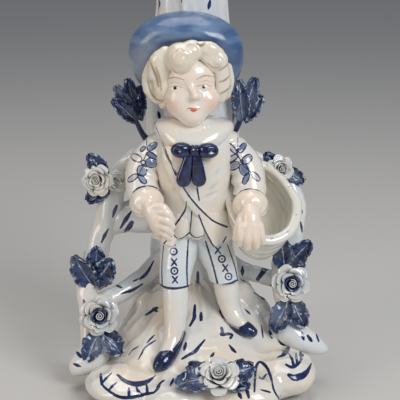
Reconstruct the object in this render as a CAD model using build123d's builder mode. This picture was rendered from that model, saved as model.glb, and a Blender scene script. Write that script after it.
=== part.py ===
from build123d import *
import os

# Porcelain spill-vase figurine: a boy with a basket in front of a hollow tree trunk.
# Millimetres. X runs to the viewer's right, Y away from the viewer, Z up.
# The origin is the centre of the foot, on the surface that the figurine stands on.
# "left" and "right" in the names are the viewer's left and right.

# Driving dimensions
FOOT_HALF_WIDTH = 38.5
FOOT_HALF_DEPTH = 40.0
HOLLOW_HEIGHT = 19.0
HOLLOW_INSET = 7.0
HOLLOW_TOP_INSETS = (16.0, 19.0)
HOLLOW_TOP_SHIFT = 9.0
MOUND_HEIGHT = 34.0
TRUNK_X = -3.0
TRUNK_Y = 26.0
TRUNK_TOP = 168.0
BORE_RADIUS = 9.0
BORE_DEPTH = 100.0
MOUTH_FLARE = 3.0
BASKET_WALL = 2.2
BASKET_CLEARANCE = 0.6
RIM_OUTWARD = 0.9
RIM_INWARD = 2.9
RIM_HEIGHT = 2.0
RIM_ROUNDING = 0.9
LEAF_THICKNESS = 1.6
SASH_THICKNESS = 1.2
CROWN_SET_BACK = 5.0
CROWN_RADIUS = 14.5
CROWN_HALF_THICKNESS = 8.5

# Places on the boy
BODY_X = -1.8
WAIST_HEIGHT = 66.0
HIP_HEIGHT = 61.0
HEM_HEIGHT = 42.0
SHOULDER_HEIGHT = 93.0
COLLAR_HEIGHT = 103.8
NOSE_PLACE = (-2.6, -15.2, 113.2)
HEAD_CENTRE = (-3.8, -4.5, 115.5)
HEAD_RADIUS = 10.4
HEAD_HALF_HEIGHT = 13.0
HAT_CENTRE = (-5.0, 4.0, 123.0)
HAT_RADIUS = 21.2
HAT_HALF_THICKNESS = 8.0
HAT_NORMAL = (-0.05, -0.927, -0.375)
BASKET_CENTRE = (23.4, -5.0, 71.5)
BASKET_NORMAL = (0.2, -0.73, 0.65)
BASKET_UPWARD = (-0.13, 0.66, 0.73)
BASKET_LONG_RADIUS = 16.6
BASKET_SHORT_RADIUS = 13.6

# Rose section, as shares of the rose's radius: (across, along the facing direction)
ROSE_SECTION = [
    (0.0, -0.45),
    (0.45, -0.38),
    (0.85, -0.05),
    (1.0, 0.22),
    (0.86, 0.34),
    (0.70, 0.16),
    (0.62, 0.46),
    (0.50, 0.48),
    (0.40, 0.26),
    (0.28, 0.56),
    (0.0, 0.62),
]

os.makedirs("parts", exist_ok=True)


def finish(piece, label):
    """Keeps the piece's one main solid, names it and writes it."""
    main_solid = piece.part.solids().sort_by(SortBy.VOLUME)[-1]
    whole = Part() + main_solid
    whole.label = label
    export_step(whole, f"parts/{label}.step")
    return whole


def carve(*neighbours):
    """Takes the neighbours' room out of the part being built, so that faces meet."""
    for neighbour in neighbours:
        add(neighbour, mode=Mode.SUBTRACT)


def facing_plane(point, direction, across=(1, 0, 0)):
    """A plane at a point whose normal is the given direction."""
    return Plane(origin=point, x_dir=across, z_dir=direction)


def add_limb(route, radii):
    """Round sections on a smooth line through the route, lofted into the part being built."""
    line = Spline(*[Vector(*point) for point in route], mode=Mode.PRIVATE)
    sections = []
    for point, radius in zip(route, radii):
        along = line.tangent_at(line.param_at_point(Vector(*point)))
        across = Vector(0, 1, 0).cross(along)
        with BuildSketch(facing_plane(point, along, across)) as section:
            Circle(radius)
        sections.append(section.sketch)
    loft(sections)


def add_spheroid(centre, axis, across, along):
    """A ball stretched along an axis through its centre, added to the part being built."""
    turning = Vector(*axis)
    hint = Vector(1, 0, 0) if abs(turning.normalized().X) < 0.8 else Vector(0, 0, 1)
    place = Plane(origin=centre, x_dir=turning.cross(hint), z_dir=turning).location
    if across == along:
        ball = Sphere(across, mode=Mode.PRIVATE)
    else:
        ball = scale(Sphere(1, mode=Mode.PRIVATE), by=(across, across, along), mode=Mode.PRIVATE)
    add(ball.moved(place))


def add_oval_loft(sections):
    """Level ovals, each (x, y, z, half width, half depth), lofted from bottom to top."""
    ovals = []
    for x, y, z, half_width, half_depth in sections:
        with BuildSketch(Plane.XY.offset(z)) as oval:
            with Locations((x, y)):
                Ellipse(half_width, half_depth)
        ovals.append(oval.sketch)
    loft(ovals)


def add_leaf(base, tip, face_direction, width, thickness=LEAF_THICKNESS):
    """A pointed leaf plate from its base to its tip."""
    length_line = Vector(*tip) - Vector(*base)
    length = length_line.length
    with BuildSketch(facing_plane(base, face_direction, length_line)) as outline:
        with BuildLine():
            ThreePointArc((0, 0), (0.45 * length, width / 2), (length, 0))
            ThreePointArc((length, 0), (0.45 * length, -width / 2), (0, 0))
        make_face()
    extrude(outline.sketch, amount=thickness / 2, both=True)


def make_rose(label, centre, facing, radius, neighbours):
    """An applied rose: turned outer petals, inner petals and a raised bud."""
    with BuildPart() as rose:
        turning = Vector(*facing).normalized()
        side = turning.cross(Vector(0, 0, 1)).normalized()
        with BuildSketch(Plane(origin=centre, x_dir=side, z_dir=side.cross(turning))):
            with BuildLine():
                Polyline(*[(across * radius, along * radius) for across, along in ROSE_SECTION])
                Line((0, ROSE_SECTION[-1][1] * radius), (0, ROSE_SECTION[0][1] * radius))
            make_face()
        revolve(axis=Axis(centre, turning))
        carve(*neighbours)
    return finish(rose, label)


def make_leaves(label, leaves, neighbours):
    """A cluster of leaves, each (base, tip, face direction, width), fused at their bases."""
    with BuildPart() as cluster:
        for base, tip, face_direction, width in leaves:
            add_leaf(base, tip, face_direction, width)
        carve(*neighbours)
    return finish(cluster, label)


def make_limb(label, route, radii, neighbours):
    """A branch, sleeve or stocking along a route."""
    with BuildPart() as limb:
        add_limb(route, radii)
        carve(*neighbours)
    return finish(limb, label)


# ---------------------------------------------------------------- base and tree

# Slip-cast rocky mound with rounded scroll lobes, hollow and open underneath
with BuildPart() as mound:
    add_oval_loft(
        [
            (0, 0, 0, FOOT_HALF_WIDTH - 1.5, FOOT_HALF_DEPTH - 1.5),
            (0, 0, 5, FOOT_HALF_WIDTH, FOOT_HALF_DEPTH),
            (0, 4, 12, FOOT_HALF_WIDTH - 3, FOOT_HALF_DEPTH - 7),
            (0, 9, 20, FOOT_HALF_WIDTH - 8, FOOT_HALF_DEPTH - 13),
            (-0.5, 14, 27, FOOT_HALF_WIDTH - 14, FOOT_HALF_DEPTH - 18.5),
            (-1.5, 19, MOUND_HEIGHT, FOOT_HALF_WIDTH - 20, FOOT_HALF_DEPTH - 24),
        ]
    )
    for lobe_x, lobe_y, lobe_z, lobe_radius, lobe_half_height in [
        (-27.5, -21, 6.6, 15.0, 6.6),
        (30.5, -15, 8.4, 12.8, 8.4),
        (-9, -30.5, 5.6, 11.5, 5.6),
        (17, -29.5, 6.4, 12.5, 6.4),
        (-31, 13, 6.0, 11.5, 6.0),
        (31, 14, 6.0, 11.5, 6.0),
        (-14, 29.5, 5.6, 12.0, 5.6),
        (14, 29.5, 5.6, 12.0, 5.6),
    ]:
        add_spheroid((lobe_x, lobe_y, lobe_z), (0, 0, 1), lobe_radius, lobe_half_height)
    # Pointed rock folds that rise to the branches on both sides
    add_limb([(-14, 9, 16), (-19.5, 8, 26), (-20.5, 7, 31.5)], [8, 5, 1.8])
    add_limb([(10, 10, 18), (15.5, 9, 29), (17.2, 8.5, 35)], [9, 6, 2.2])
    with BuildSketch(Plane.XY.offset(-2)):
        Rectangle(4 * FOOT_HALF_WIDTH, 4 * FOOT_HALF_DEPTH)
    extrude(amount=2, mode=Mode.SUBTRACT)
    # The cavity that slip casting leaves
    with BuildSketch(Plane.XY):
        Ellipse(FOOT_HALF_WIDTH - HOLLOW_INSET, FOOT_HALF_DEPTH - HOLLOW_INSET)
    with BuildSketch(Plane.XY.offset(HOLLOW_HEIGHT)):
        with Locations((0, HOLLOW_TOP_SHIFT)):
            Ellipse(FOOT_HALF_WIDTH - HOLLOW_TOP_INSETS[0], FOOT_HALF_DEPTH - HOLLOW_TOP_INSETS[1])
    loft(mode=Mode.SUBTRACT)
base_mound = finish(mound, "base_mound")

# Hollow trunk that is the vase, with a flared mouth
with BuildPart() as trunk:
    add_oval_loft(
        [
            (TRUNK_X + 1, TRUNK_Y - 5, 22, 21, 15),
            (TRUNK_X, TRUNK_Y - 4, 34, 18, 15),
            (TRUNK_X, TRUNK_Y - 3, 52, 16.2, 15),
            (TRUNK_X, TRUNK_Y - 1.5, 78, 17, 15),
            (TRUNK_X, TRUNK_Y, 100, 18.7, 15),
            (TRUNK_X, TRUNK_Y, 122, 16, 14),
            (TRUNK_X, TRUNK_Y, 143, 13.8, 13.2),
            (TRUNK_X, TRUNK_Y, 158, 14.8, 13.8),
            (TRUNK_X, TRUNK_Y, TRUNK_TOP, 17.5, 15.5),
        ]
    )
    with BuildSketch(Plane.XY.offset(TRUNK_TOP)):
        with Locations((TRUNK_X, TRUNK_Y)):
            Circle(BORE_RADIUS)
    extrude(amount=-BORE_DEPTH, mode=Mode.SUBTRACT)
    chamfer(trunk.faces().sort_by(Axis.Z)[-1].inner_wires()[0].edges(), length=MOUTH_FLARE)
    carve(base_mound)
trunk_vase = finish(trunk, "trunk_vase")

# Openwork branches: (label, route, radii), lower ends last
branch_left_upper = make_limb(
    "branch_left_upper",
    [(-14, 22, 86), (-24, 15, 84), (-31, 9, 78), (-34.5, 7, 66), (-38, 5, 55), (-41, 3, 46)],
    [4.2, 4.0, 4.2, 4.8, 4.8, 4.6],
    [trunk_vase],
)
branch_left_web = make_limb(
    "branch_left_web",
    [(-13, 16, 69), (-21, 12, 65), (-29, 9, 64), (-35, 7, 62)],
    [7.0, 5.6, 5.0, 4.0],
    [trunk_vase, branch_left_upper],
)
branch_left_lower = make_limb(
    "branch_left_lower",
    [(-41, 3, 46), (-43, 0, 36), (-41.5, -4, 25), (-41, -8, 14)],
    [4.6, 4.2, 4.4, 5.0],
    [branch_left_upper, base_mound],
)
branch_left_cross = make_limb(
    "branch_left_cross",
    [(-13, 17, 44), (-21, 12, 38), (-31, 6, 32), (-41, 0, 30)],
    [5.2, 4.0, 3.8, 3.6],
    [trunk_vase, base_mound, branch_left_lower],
)
branch_right_upper = make_limb(
    "branch_right_upper",
    [(8, 22, 86), (20, 16, 83), (30, 12, 79), (37, 9, 68), (35, 8, 55), (31.5, 6, 45)],
    [4.2, 3.8, 3.8, 3.8, 4.4, 4.6],
    [trunk_vase],
)
branch_right_lower = make_limb(
    "branch_right_lower",
    [(31.5, 6, 45), (31.5, 2, 36), (34, -1, 27), (37, -3, 18)],
    [4.6, 4.2, 4.4, 5.2],
    [branch_right_upper, base_mound],
)
branch_right_cross = make_limb(
    "branch_right_cross",
    [(7, 18, 42), (15, 14, 40), (24, 9, 38.5), (31, 4, 38)],
    [5.0, 3.6, 3.4, 3.4],
    [trunk_vase, base_mound, branch_right_upper, branch_right_lower],
)

# Rounded scroll knobs that the branches end in
knob_left = make_limb(
    "knob_left",
    [(-37.0, -7.0, 16.5), (-41.5, -8.5, 11.5), (-46.2, -9.3, 8.4), (-49.0, -9.6, 7.0)],
    [5.4, 6.4, 4.2, 2.0],
    [branch_left_lower, base_mound],
)
knob_right = make_limb(
    "knob_right",
    [(34.0, -4.0, 19.5), (39.5, -4.0, 17.0), (46.5, -3.0, 13.4), (49.5, -2.5, 12.2)],
    [5.4, 5.6, 3.0, 1.6],
    [branch_right_lower, base_mound],
)

# ---------------------------------------------------------------- legs

# Pointed slippers, (label, centre, direction from heel to toe, half length, half width)
shoes = {}
for label, centre, heel_to_toe, half_length, half_width in [
    ("shoe_left", (-11.2, -19.8, 18.2), (-9.3, -13.0, -12.0), 10.0, 3.9),
    ("shoe_right", (13.2, -7.2, 24.8), (15.0, -10.0, -5.0), 9.6, 3.7),
]:
    with BuildPart() as shoe:
        add_spheroid(centre, heel_to_toe, half_width, half_length)
        carve(base_mound)
    shoes[label] = finish(shoe, label)

stocking_left = make_limb(
    "stocking_left",
    [(-9.4, -8.5, 43), (-9.0, -11.0, 34), (-9.6, -14.5, 25), (-11.0, -18.0, 19.5)],
    [4.9, 4.6, 3.9, 3.3],
    [shoes["shoe_left"], base_mound],
)
stocking_right = make_limb(
    "stocking_right",
    [(9.2, -5.5, 44), (10.2, -5.0, 36), (12.0, -6.0, 30), (14.0, -7.6, 26)],
    [4.6, 4.5, 4.0, 3.4],
    [shoes["shoe_right"], base_mound],
)
breeches_left = make_limb(
    "breeches_left",
    [(-6.0, -2.5, HIP_HEIGHT + 3), (-7.6, -4.5, 54), (-9.0, -7.5, 46), (-9.5, -8.8, HEM_HEIGHT - 0.5)],
    [7.4, 7.2, 6.2, 5.7],
    [stocking_left, trunk_vase],
)
breeches_right = make_limb(
    "breeches_right",
    [(3.0, -2.0, HIP_HEIGHT + 3), (5.4, -3.4, 54), (8.0, -5.2, 47), (9.2, -6.0, HEM_HEIGHT + 0.5)],
    [7.4, 7.0, 5.9, 5.4],
    [stocking_right, breeches_left, trunk_vase],
)

# ---------------------------------------------------------------- torso and dress

with BuildPart() as torso:
    add_oval_loft(
        [
            (BODY_X, -3.0, HIP_HEIGHT + 1, 12.0, 9.6),
            (BODY_X, -3.0, WAIST_HEIGHT + 2, 11.8, 9.8),
            (-2.0, -4.0, 77, 13.0, 10.8),
            (-2.4, -4.4, 86, 14.2, 11.6),
            (-2.4, -4.0, SHOULDER_HEIGHT, 14.4, 10.6),
            (-2.4, -3.6, 98.5, 11.0, 8.0),
            (-2.6, -3.6, 101.5, 6.5, 5.6),
        ]
    )
    carve(breeches_left, breeches_right, trunk_vase)
jacket = finish(torso, "jacket")

with BuildPart() as vest:
    add_spheroid((-3.2, -8.6, 68.0), (0, 0, 1), 6.6, 7.2)
    carve(jacket, breeches_left, breeches_right)
waistcoat = finish(vest, "waistcoat")

# Flared coat skirts, open at the front, one each side
coat_skirts = {}
for label, side in [("coat_skirt_left", -1), ("coat_skirt_right", 1)]:
    with BuildPart() as skirt:
        add_oval_loft(
            [
                (BODY_X, -1.5, 55.5, 16.8, 12.8),
                (BODY_X, -2.0, 62, 14.8, 11.8),
                (BODY_X, -2.5, 69, 12.8, 10.8),
            ]
        )
        # Each side keeps its own half, cut back at the front in a slant
        with BuildSketch(Plane.XZ.offset(40)):
            with BuildLine():
                Polyline(
                    (BODY_X - 30 * side, 50),
                    (BODY_X - 30 * side, 80),
                    (BODY_X + 1.5 * side, 80),
                    (BODY_X + 3.0 * side, 68),
                    (BODY_X + 9.5 * side, 50),
                    close=True,
                )
            make_face()
        extrude(amount=-40, mode=Mode.SUBTRACT)
        with BuildSketch(Plane.XY.offset(50)):
            with Locations((BODY_X - 15 * side, 10)):
                Rectangle(30, 60)
        extrude(amount=30, mode=Mode.SUBTRACT)
        carve(jacket, waistcoat, breeches_left, breeches_right, trunk_vase)
    coat_skirts[label] = finish(skirt, label)

# Basket strap: a band across the chest from one shoulder to the other hip
with BuildPart() as strap:
    with BuildSketch(Plane.XZ.offset(30)):
        with BuildLine():
            Polyline(
                (-15.0, 91.5), (-11.5, 94.0), (-3.5, 79.0), (9.5, 70.0),
                (9.5, 65.5), (-5.5, 75.0), close=True,
            )
        make_face()
    extrude(amount=-25)
    with BuildPart(mode=Mode.INTERSECT):
        add_oval_loft(
            [
                (BODY_X, -3.0 - SASH_THICKNESS, HIP_HEIGHT + 1, 12.6, 9.6),
                (BODY_X, -3.0 - SASH_THICKNESS, WAIST_HEIGHT + 2, 12.4, 9.8),
                (-2.0, -4.0 - SASH_THICKNESS, 77, 13.6, 10.8),
                (-2.4, -4.4 - SASH_THICKNESS, 86, 14.8, 11.6),
                (-2.4, -4.0 - SASH_THICKNESS, SHOULDER_HEIGHT, 15.0, 10.6),
                (-2.4, -3.6 - SASH_THICKNESS, 98.5, 11.6, 8.0),
            ]
        )
    carve(jacket, waistcoat, coat_skirts["coat_skirt_left"], coat_skirts["coat_skirt_right"])
sash = finish(strap, "sash")

# ---------------------------------------------------------------- head

with BuildPart() as skull:
    add_spheroid(HEAD_CENTRE, (0, 0.12, 1), HEAD_RADIUS, HEAD_HALF_HEIGHT)
    add_spheroid(NOSE_PLACE, (0, 0.4, 1), 1.3, 2.6)
head = finish(skull, "head")

with BuildPart() as throat:
    add_limb([(-2.8, -3.6, 99), (-3.0, -3.8, 104), (-3.4, -4.0, 108)], [5.2, 4.8, 5.2])
    carve(head, jacket)
neck = finish(throat, "neck")

with BuildPart() as cape_collar:
    add_oval_loft(
        [
            (-1.9, -4.6, 94.4, 15.2, 12.4),
            (-2.0, -4.6, 98.0, 15.2, 11.8),
            (-2.2, -4.2, 101.6, 14.0, 9.4),
            (-2.4, -4.0, COLLAR_HEIGHT, 10.6, 7.2),
        ]
    )
    carve(jacket, neck, head, sash)
collar = finish(cape_collar, "collar")

with BuildPart() as hair_mass:
    add_spheroid((-4.4, 1.4, 119.2), (0, 0, 1), 13.6, 12.6)
    # Side locks, and the curl over the temple
    add_limb([(-15.0, -3.4, 121.5), (-16.8, -3.6, 114.0), (-14.6, -1.0, 106.0)], [4.0, 4.7, 3.2])
    add_limb([(7.0, -3.8, 121.5), (8.4, -3.6, 113.6), (6.2, -0.6, 106.2)], [4.0, 4.5, 3.2])
    add_limb([(-1.5, -9.4, 127.6), (4.2, -9.2, 126.6), (8.2, -5.6, 122.0)], [2.6, 4.0, 3.0])
    carve(head, neck, collar, jacket, trunk_vase)
hair = finish(hair_mass, "hair")

forelock = make_limb(
    "forelock",
    [(-10.2, -11.0, 128.6), (-7.6, -13.0, 124.6), (-2.8, -13.4, 122.8)],
    [4.0, 4.9, 3.2],
    [head, hair],
)

with BuildPart() as brim:
    add_spheroid(HAT_CENTRE, HAT_NORMAL, HAT_RADIUS, HAT_HALF_THICKNESS)
    carve(head, hair, forelock, trunk_vase)
hat_brim = finish(brim, "hat_brim")

with BuildPart() as crown:
    crown_centre = Vector(*HAT_CENTRE) - Vector(*HAT_NORMAL) * CROWN_SET_BACK
    add_spheroid(tuple(crown_centre), HAT_NORMAL, CROWN_RADIUS, CROWN_HALF_THICKNESS)
    carve(hat_brim, hair, head, trunk_vase)
hat_crown = finish(crown, "hat_crown")

# ---------------------------------------------------------------- arms

sleeve_left = make_limb(
    "sleeve_left",
    [(-12.0, -2.5, 95.5), (-17.5, -2.5, 90.5), (-20.9, -3.6, 84.0), (-21.4, -7.4, 77.6)],
    [5.6, 6.6, 6.4, 5.9],
    [jacket, collar, sash, branch_left_upper, branch_left_web, trunk_vase],
)
sleeve_right = make_limb(
    "sleeve_right",
    [(8.0, -2.5, 95.5), (13.4, -2.5, 90.5), (17.2, -3.8, 84.0), (18.4, -7.6, 77.4)],
    [5.6, 6.4, 6.2, 6.0],
    [jacket, collar, sash, branch_right_upper, trunk_vase],
)

cuffs = {}
for label, route, radii, sleeve in [
    (
        "cuff_left",
        [(-21.2, -8.2, 77.0), (-20.7, -11.2, 75.0), (-19.9, -14.2, 72.6)],
        [5.3, 6.4, 4.7],
        sleeve_left,
    ),
    (
        "cuff_right",
        [(18.4, -8.4, 76.8), (18.3, -11.8, 74.6), (18.2, -15.0, 71.4)],
        [5.4, 6.5, 4.8],
        sleeve_right,
    ),
]:
    cuffs[label] = make_limb(
        label, route, radii,
        [sleeve, jacket, sash, coat_skirts["coat_skirt_left"], coat_skirts["coat_skirt_right"]],
    )

# ---------------------------------------------------------------- basket

mouth_plane = Plane(origin=BASKET_CENTRE, x_dir=BASKET_UPWARD, z_dir=BASKET_NORMAL)

# Bowl sections: (depth behind the mouth, slip down, share of the mouth's size)
BOWL_SECTIONS = [(0.0, 0.0, 1.0), (6.0, 1.5, 0.93), (12.0, 4.0, 0.76), (17.0, 6.5, 0.42)]

with BuildPart() as bowl:
    for depth, slip, share in BOWL_SECTIONS:
        with BuildSketch(mouth_plane.offset(-depth)):
            with Locations((-slip, 0)):
                Ellipse(share * BASKET_LONG_RADIUS, share * BASKET_SHORT_RADIUS)
    loft()
    for depth, slip, share in BOWL_SECTIONS:
        inner_depth = depth - BASKET_WALL if depth > BASKET_WALL else -1.0
        with BuildSketch(mouth_plane.offset(-inner_depth)):
            with Locations((-slip, 0)):
                Ellipse(
                    share * BASKET_LONG_RADIUS - BASKET_WALL - BASKET_CLEARANCE,
                    share * BASKET_SHORT_RADIUS - BASKET_WALL - BASKET_CLEARANCE,
                )
    loft(mode=Mode.SUBTRACT)
    carve(
        jacket, sleeve_right, cuffs["cuff_right"], breeches_right,
        coat_skirts["coat_skirt_right"], trunk_vase, branch_right_upper, branch_right_cross,
    )
basket = finish(bowl, "basket")

# Thick rolled rim on the mouth
with BuildPart() as rolled_rim:
    with BuildSketch(mouth_plane):
        Ellipse(BASKET_LONG_RADIUS + RIM_OUTWARD, BASKET_SHORT_RADIUS + RIM_OUTWARD)
        Ellipse(
            BASKET_LONG_RADIUS - RIM_INWARD,
            BASKET_SHORT_RADIUS - RIM_INWARD,
            mode=Mode.SUBTRACT,
        )
    extrude(amount=RIM_HEIGHT)
    rim_top = rolled_rim.faces().sort_by(Axis(BASKET_CENTRE, BASKET_NORMAL))[-1]
    fillet(rim_top.edges(), RIM_ROUNDING)
    carve(
        jacket, sleeve_right, cuffs["cuff_right"], breeches_right, basket,
        coat_skirts["coat_skirt_right"], trunk_vase, branch_right_upper,
    )
basket_rim = finish(rolled_rim, "basket_rim")

# ---------------------------------------------------------------- hands

with BuildPart() as mitten_left:
    add_limb(
        [(-19.2, -14.5, 73.0), (-16.4, -18.0, 70.2), (-13.6, -20.0, 67.4), (-11.2, -20.6, 64.8)],
        [3.4, 3.9, 3.7, 1.8],
    )
    carve(cuffs["cuff_left"], sleeve_left)
hand_left = finish(mitten_left, "hand_left")

with BuildPart() as mitten_right:
    add_limb(
        [(18.2, -15.0, 71.0), (18.4, -19.5, 67.0), (18.8, -21.5, 62.8), (19.0, -21.6, 59.4)],
        [3.4, 4.0, 4.0, 2.4],
    )
    carve(cuffs["cuff_right"], sleeve_right, basket_rim, basket)
hand_right = finish(mitten_right, "hand_right")

# ---------------------------------------------------------------- bow

bow_knot = make_limb(
    "bow_knot",
    [(-1.9, -14.0, 94.0), (-1.9, -16.6, 94.2), (-1.9, -18.8, 94.2)],
    [2.2, 2.5, 1.5],
    [collar, jacket, sash],
)

bow_loops = {}
for label, centre in [("bow_loop_left", (-6.6, -16.6, 94.3)), ("bow_loop_right", (2.8, -16.6, 94.1))]:
    with BuildPart() as loop:
        add_spheroid(centre, (1, 0, 0), 2.9, 4.2)
        carve(collar, jacket, sash, bow_knot)
    bow_loops[label] = finish(loop, label)

bow_tails = {}
for label, top, bottom in [
    ("bow_tail_left", (-2.6, -16.8, 92.8), (-5.4, -17.2, 82.6)),
    ("bow_tail_right", (-1.2, -16.8, 92.8), (0.6, -17.2, 82.6)),
]:
    with BuildPart() as tail:
        add_limb([top, tuple((Vector(*top) + Vector(*bottom)) * 0.5), bottom], [1.6, 2.6, 2.9])
        carve(
            collar, jacket, sash, bow_knot, *bow_loops.values(), *bow_tails.values(),
        )
    bow_tails[label] = finish(tail, label)

# ---------------------------------------------------------------- applied flowers and leaves

stem_left = make_limb(
    "stem_left",
    [(-16.0, 16.0, 88.0), (-21.0, 10.5, 93.0), (-24.0, 8.5, 99.0)],
    [2.4, 1.6, 1.3],
    [trunk_vase, branch_left_upper, sleeve_left],
)
leaf_spray_left = make_leaves(
    "leaf_spray_left",
    [
        ((-23.6, 8.5, 97.0), (-32.0, 8.0, 106.0), (0.1, -1, 0.2), 5.0),
        ((-23.6, 8.5, 97.0), (-30.5, 8.0, 112.0), (0.1, -1, 0.2), 5.0),
        ((-23.6, 8.5, 97.0), (-26.5, 8.0, 114.0), (0.1, -1, 0.2), 5.0),
        ((-23.6, 8.5, 97.0), (-22.4, 8.5, 111.0), (0.1, -1, 0.2), 5.0),
    ],
    [stem_left, hair, hat_brim, trunk_vase],
)
stem_right = make_limb(
    "stem_right",
    [(9.0, 20.0, 90.0), (13.5, 15.5, 95.0), (16.5, 13.5, 101.0)],
    [2.4, 1.6, 1.3],
    [trunk_vase, branch_right_upper, sleeve_right],
)
leaf_spray_right = make_leaves(
    "leaf_spray_right",
    [
        ((16.2, 13.5, 99.0), (14.8, 14.0, 114.0), (-0.1, -1, 0.2), 6.0),
        ((16.2, 13.5, 99.0), (20.5, 14.0, 114.5), (-0.1, -1, 0.2), 6.4),
        ((16.2, 13.5, 99.0), (23.0, 14.0, 108.0), (-0.1, -1, 0.2), 5.6),
    ],
    [stem_right, hair, hat_brim, trunk_vase],
)

rose_left_upper = make_rose(
    "rose_left_upper", (-38.0, 1.6, 78.4), (-0.25, -1.0, 0.15), 5.2, [branch_left_upper]
)
bud_left = make_rose(
    "bud_left", (-31.6, 2.6, 78.0), (0.2, -1.0, 0.1), 3.6,
    [branch_left_upper, rose_left_upper, sleeve_left],
)
leaves_left_upper = make_leaves(
    "leaves_left_upper",
    [
        ((-36.0, 4.4, 80.0), (-41.0, 3.6, 87.5), (0.1, -1, 0.2), 5.6),
        ((-34.5, 4.4, 76.0), (-42.0, 3.6, 70.0), (-0.1, -1, 0.2), 5.8),
    ],
    [rose_left_upper, bud_left, branch_left_upper],
)
leaves_left_middle = make_leaves(
    "leaves_left_middle",
    [
        ((-40.0, -2.0, 38.5), (-46.5, -3.6, 49.5), (-0.3, -1, 0.2), 8.4),
        ((-40.0, -2.0, 38.5), (-34.0, -4.0, 48.0), (0.2, -1, 0.3), 8.4),
        ((-39.6, -1.6, 42.0), (-38.6, -1.0, 51.0), (0.0, -1, 0.3), 7.0),
    ],
    [branch_left_lower, branch_left_upper, branch_left_cross],
)
rose_left_lower = make_rose(
    "rose_left_lower", (-38.6, -9.2, 27.4), (0.0, -1.0, 0.15), 7.0,
    [branch_left_lower, branch_left_cross, leaves_left_middle, base_mound],
)
leaves_left_lower = make_leaves(
    "leaves_left_lower",
    [
        ((-38.0, -10.4, 22.0), (-41.5, -13.5, 13.5), (-0.2, -1, 0.5), 7.4),
        ((-37.0, -10.4, 22.0), (-30.0, -13.0, 15.5), (0.3, -1, 0.5), 7.4),
    ],
    [rose_left_lower, branch_left_lower, base_mound, knob_left],
)
rose_right_upper = make_rose(
    "rose_right_upper", (31.0, 5.8, 81.4), (0.3, -1.0, 0.25), 5.4,
    [branch_right_upper, basket_rim, basket],
)
leaves_right_upper = make_leaves(
    "leaves_right_upper",
    [
        ((29.0, 8.4, 81.0), (25.4, 7.4, 87.0), (-0.2, -1, 0.3), 4.6),
        ((33.0, 8.4, 80.0), (38.6, 7.6, 77.0), (0.3, -1, 0.2), 4.8),
    ],
    [rose_right_upper, branch_right_upper, basket_rim, basket],
)
leaves_right_middle = make_leaves(
    "leaves_right_middle",
    [
        ((32.0, 0.2, 45.0), (30.8, -1.2, 56.0), (0.0, -1, 0.3), 7.0),
        ((32.0, 0.2, 45.0), (40.8, -1.0, 54.5), (0.3, -1, 0.3), 7.4),
        ((32.0, 0.2, 45.0), (38.6, -1.4, 47.5), (0.3, -1, 0.2), 5.8),
    ],
    [branch_right_upper, branch_right_lower, basket_rim, basket],
)
rose_right_lower = make_rose(
    "rose_right_lower", (34.4, -4.4, 38.2), (0.1, -1.0, 0.15), 6.4,
    [branch_right_lower, branch_right_upper, branch_right_cross, leaves_right_middle],
)
leaves_right_lower = make_leaves(
    "leaves_right_lower",
    [
        ((33.4, -5.4, 33.0), (28.4, -7.4, 22.6), (-0.3, -1, 0.3), 7.4),
        ((34.4, -5.4, 33.0), (39.0, -7.2, 24.4), (0.3, -1, 0.3), 6.8),
    ],
    [rose_right_lower, branch_right_lower, base_mound, knob_right],
)
rose_front = make_rose(
    "rose_front", (7.9, -34.6, 14.6), (0.0, -0.62, 0.8), 7.4, [base_mound]
)
leaves_front_left = make_leaves(
    "leaves_front_left",
    [
        ((6.0, -35.0, 13.0), (-8.0, -36.6, 12.0), (-0.1, -0.6, 1), 9.4),
        ((6.0, -35.0, 13.0), (-4.0, -31.0, 16.4), (-0.1, -0.6, 1), 6.0),
    ],
    [rose_front, base_mound],
)
leaves_front_right = make_leaves(
    "leaves_front_right",
    [
        ((10.0, -35.0, 13.4), (20.6, -32.0, 17.4), (0.1, -0.7, 1), 8.4),
        ((10.0, -35.0, 13.0), (18.4, -38.4, 12.0), (0.1, -0.7, 1), 6.4),
    ],
    [rose_front, base_mound],
)
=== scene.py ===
import math
from functools import partial
from itertools import product

import bpy
import numpy as np
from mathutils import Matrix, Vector
from mathutils.bvhtree import BVHTree


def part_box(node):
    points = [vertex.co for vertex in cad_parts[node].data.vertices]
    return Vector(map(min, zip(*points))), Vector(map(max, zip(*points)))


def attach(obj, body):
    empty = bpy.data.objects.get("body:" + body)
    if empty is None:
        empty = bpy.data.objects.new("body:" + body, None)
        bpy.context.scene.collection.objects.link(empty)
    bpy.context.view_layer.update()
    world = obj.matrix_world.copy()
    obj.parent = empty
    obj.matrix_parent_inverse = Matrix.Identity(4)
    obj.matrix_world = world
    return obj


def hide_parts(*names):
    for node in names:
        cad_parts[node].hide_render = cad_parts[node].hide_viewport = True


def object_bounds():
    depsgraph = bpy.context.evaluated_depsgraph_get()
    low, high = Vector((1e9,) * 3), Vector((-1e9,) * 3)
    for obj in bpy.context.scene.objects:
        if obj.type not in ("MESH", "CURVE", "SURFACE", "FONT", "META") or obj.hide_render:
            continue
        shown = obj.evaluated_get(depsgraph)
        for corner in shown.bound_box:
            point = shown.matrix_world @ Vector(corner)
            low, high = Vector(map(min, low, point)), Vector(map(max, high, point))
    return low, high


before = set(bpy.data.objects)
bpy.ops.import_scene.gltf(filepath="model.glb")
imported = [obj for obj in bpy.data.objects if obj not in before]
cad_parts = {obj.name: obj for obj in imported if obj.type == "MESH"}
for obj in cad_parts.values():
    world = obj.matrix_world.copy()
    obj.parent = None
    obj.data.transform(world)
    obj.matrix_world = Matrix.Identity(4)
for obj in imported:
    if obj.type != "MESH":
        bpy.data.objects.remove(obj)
cad_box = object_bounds()

# Lengths in this script are millimetres until a mesh is written, which is in metres.
MM = 0.001
DICE = np.random.default_rng(1883)

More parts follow.
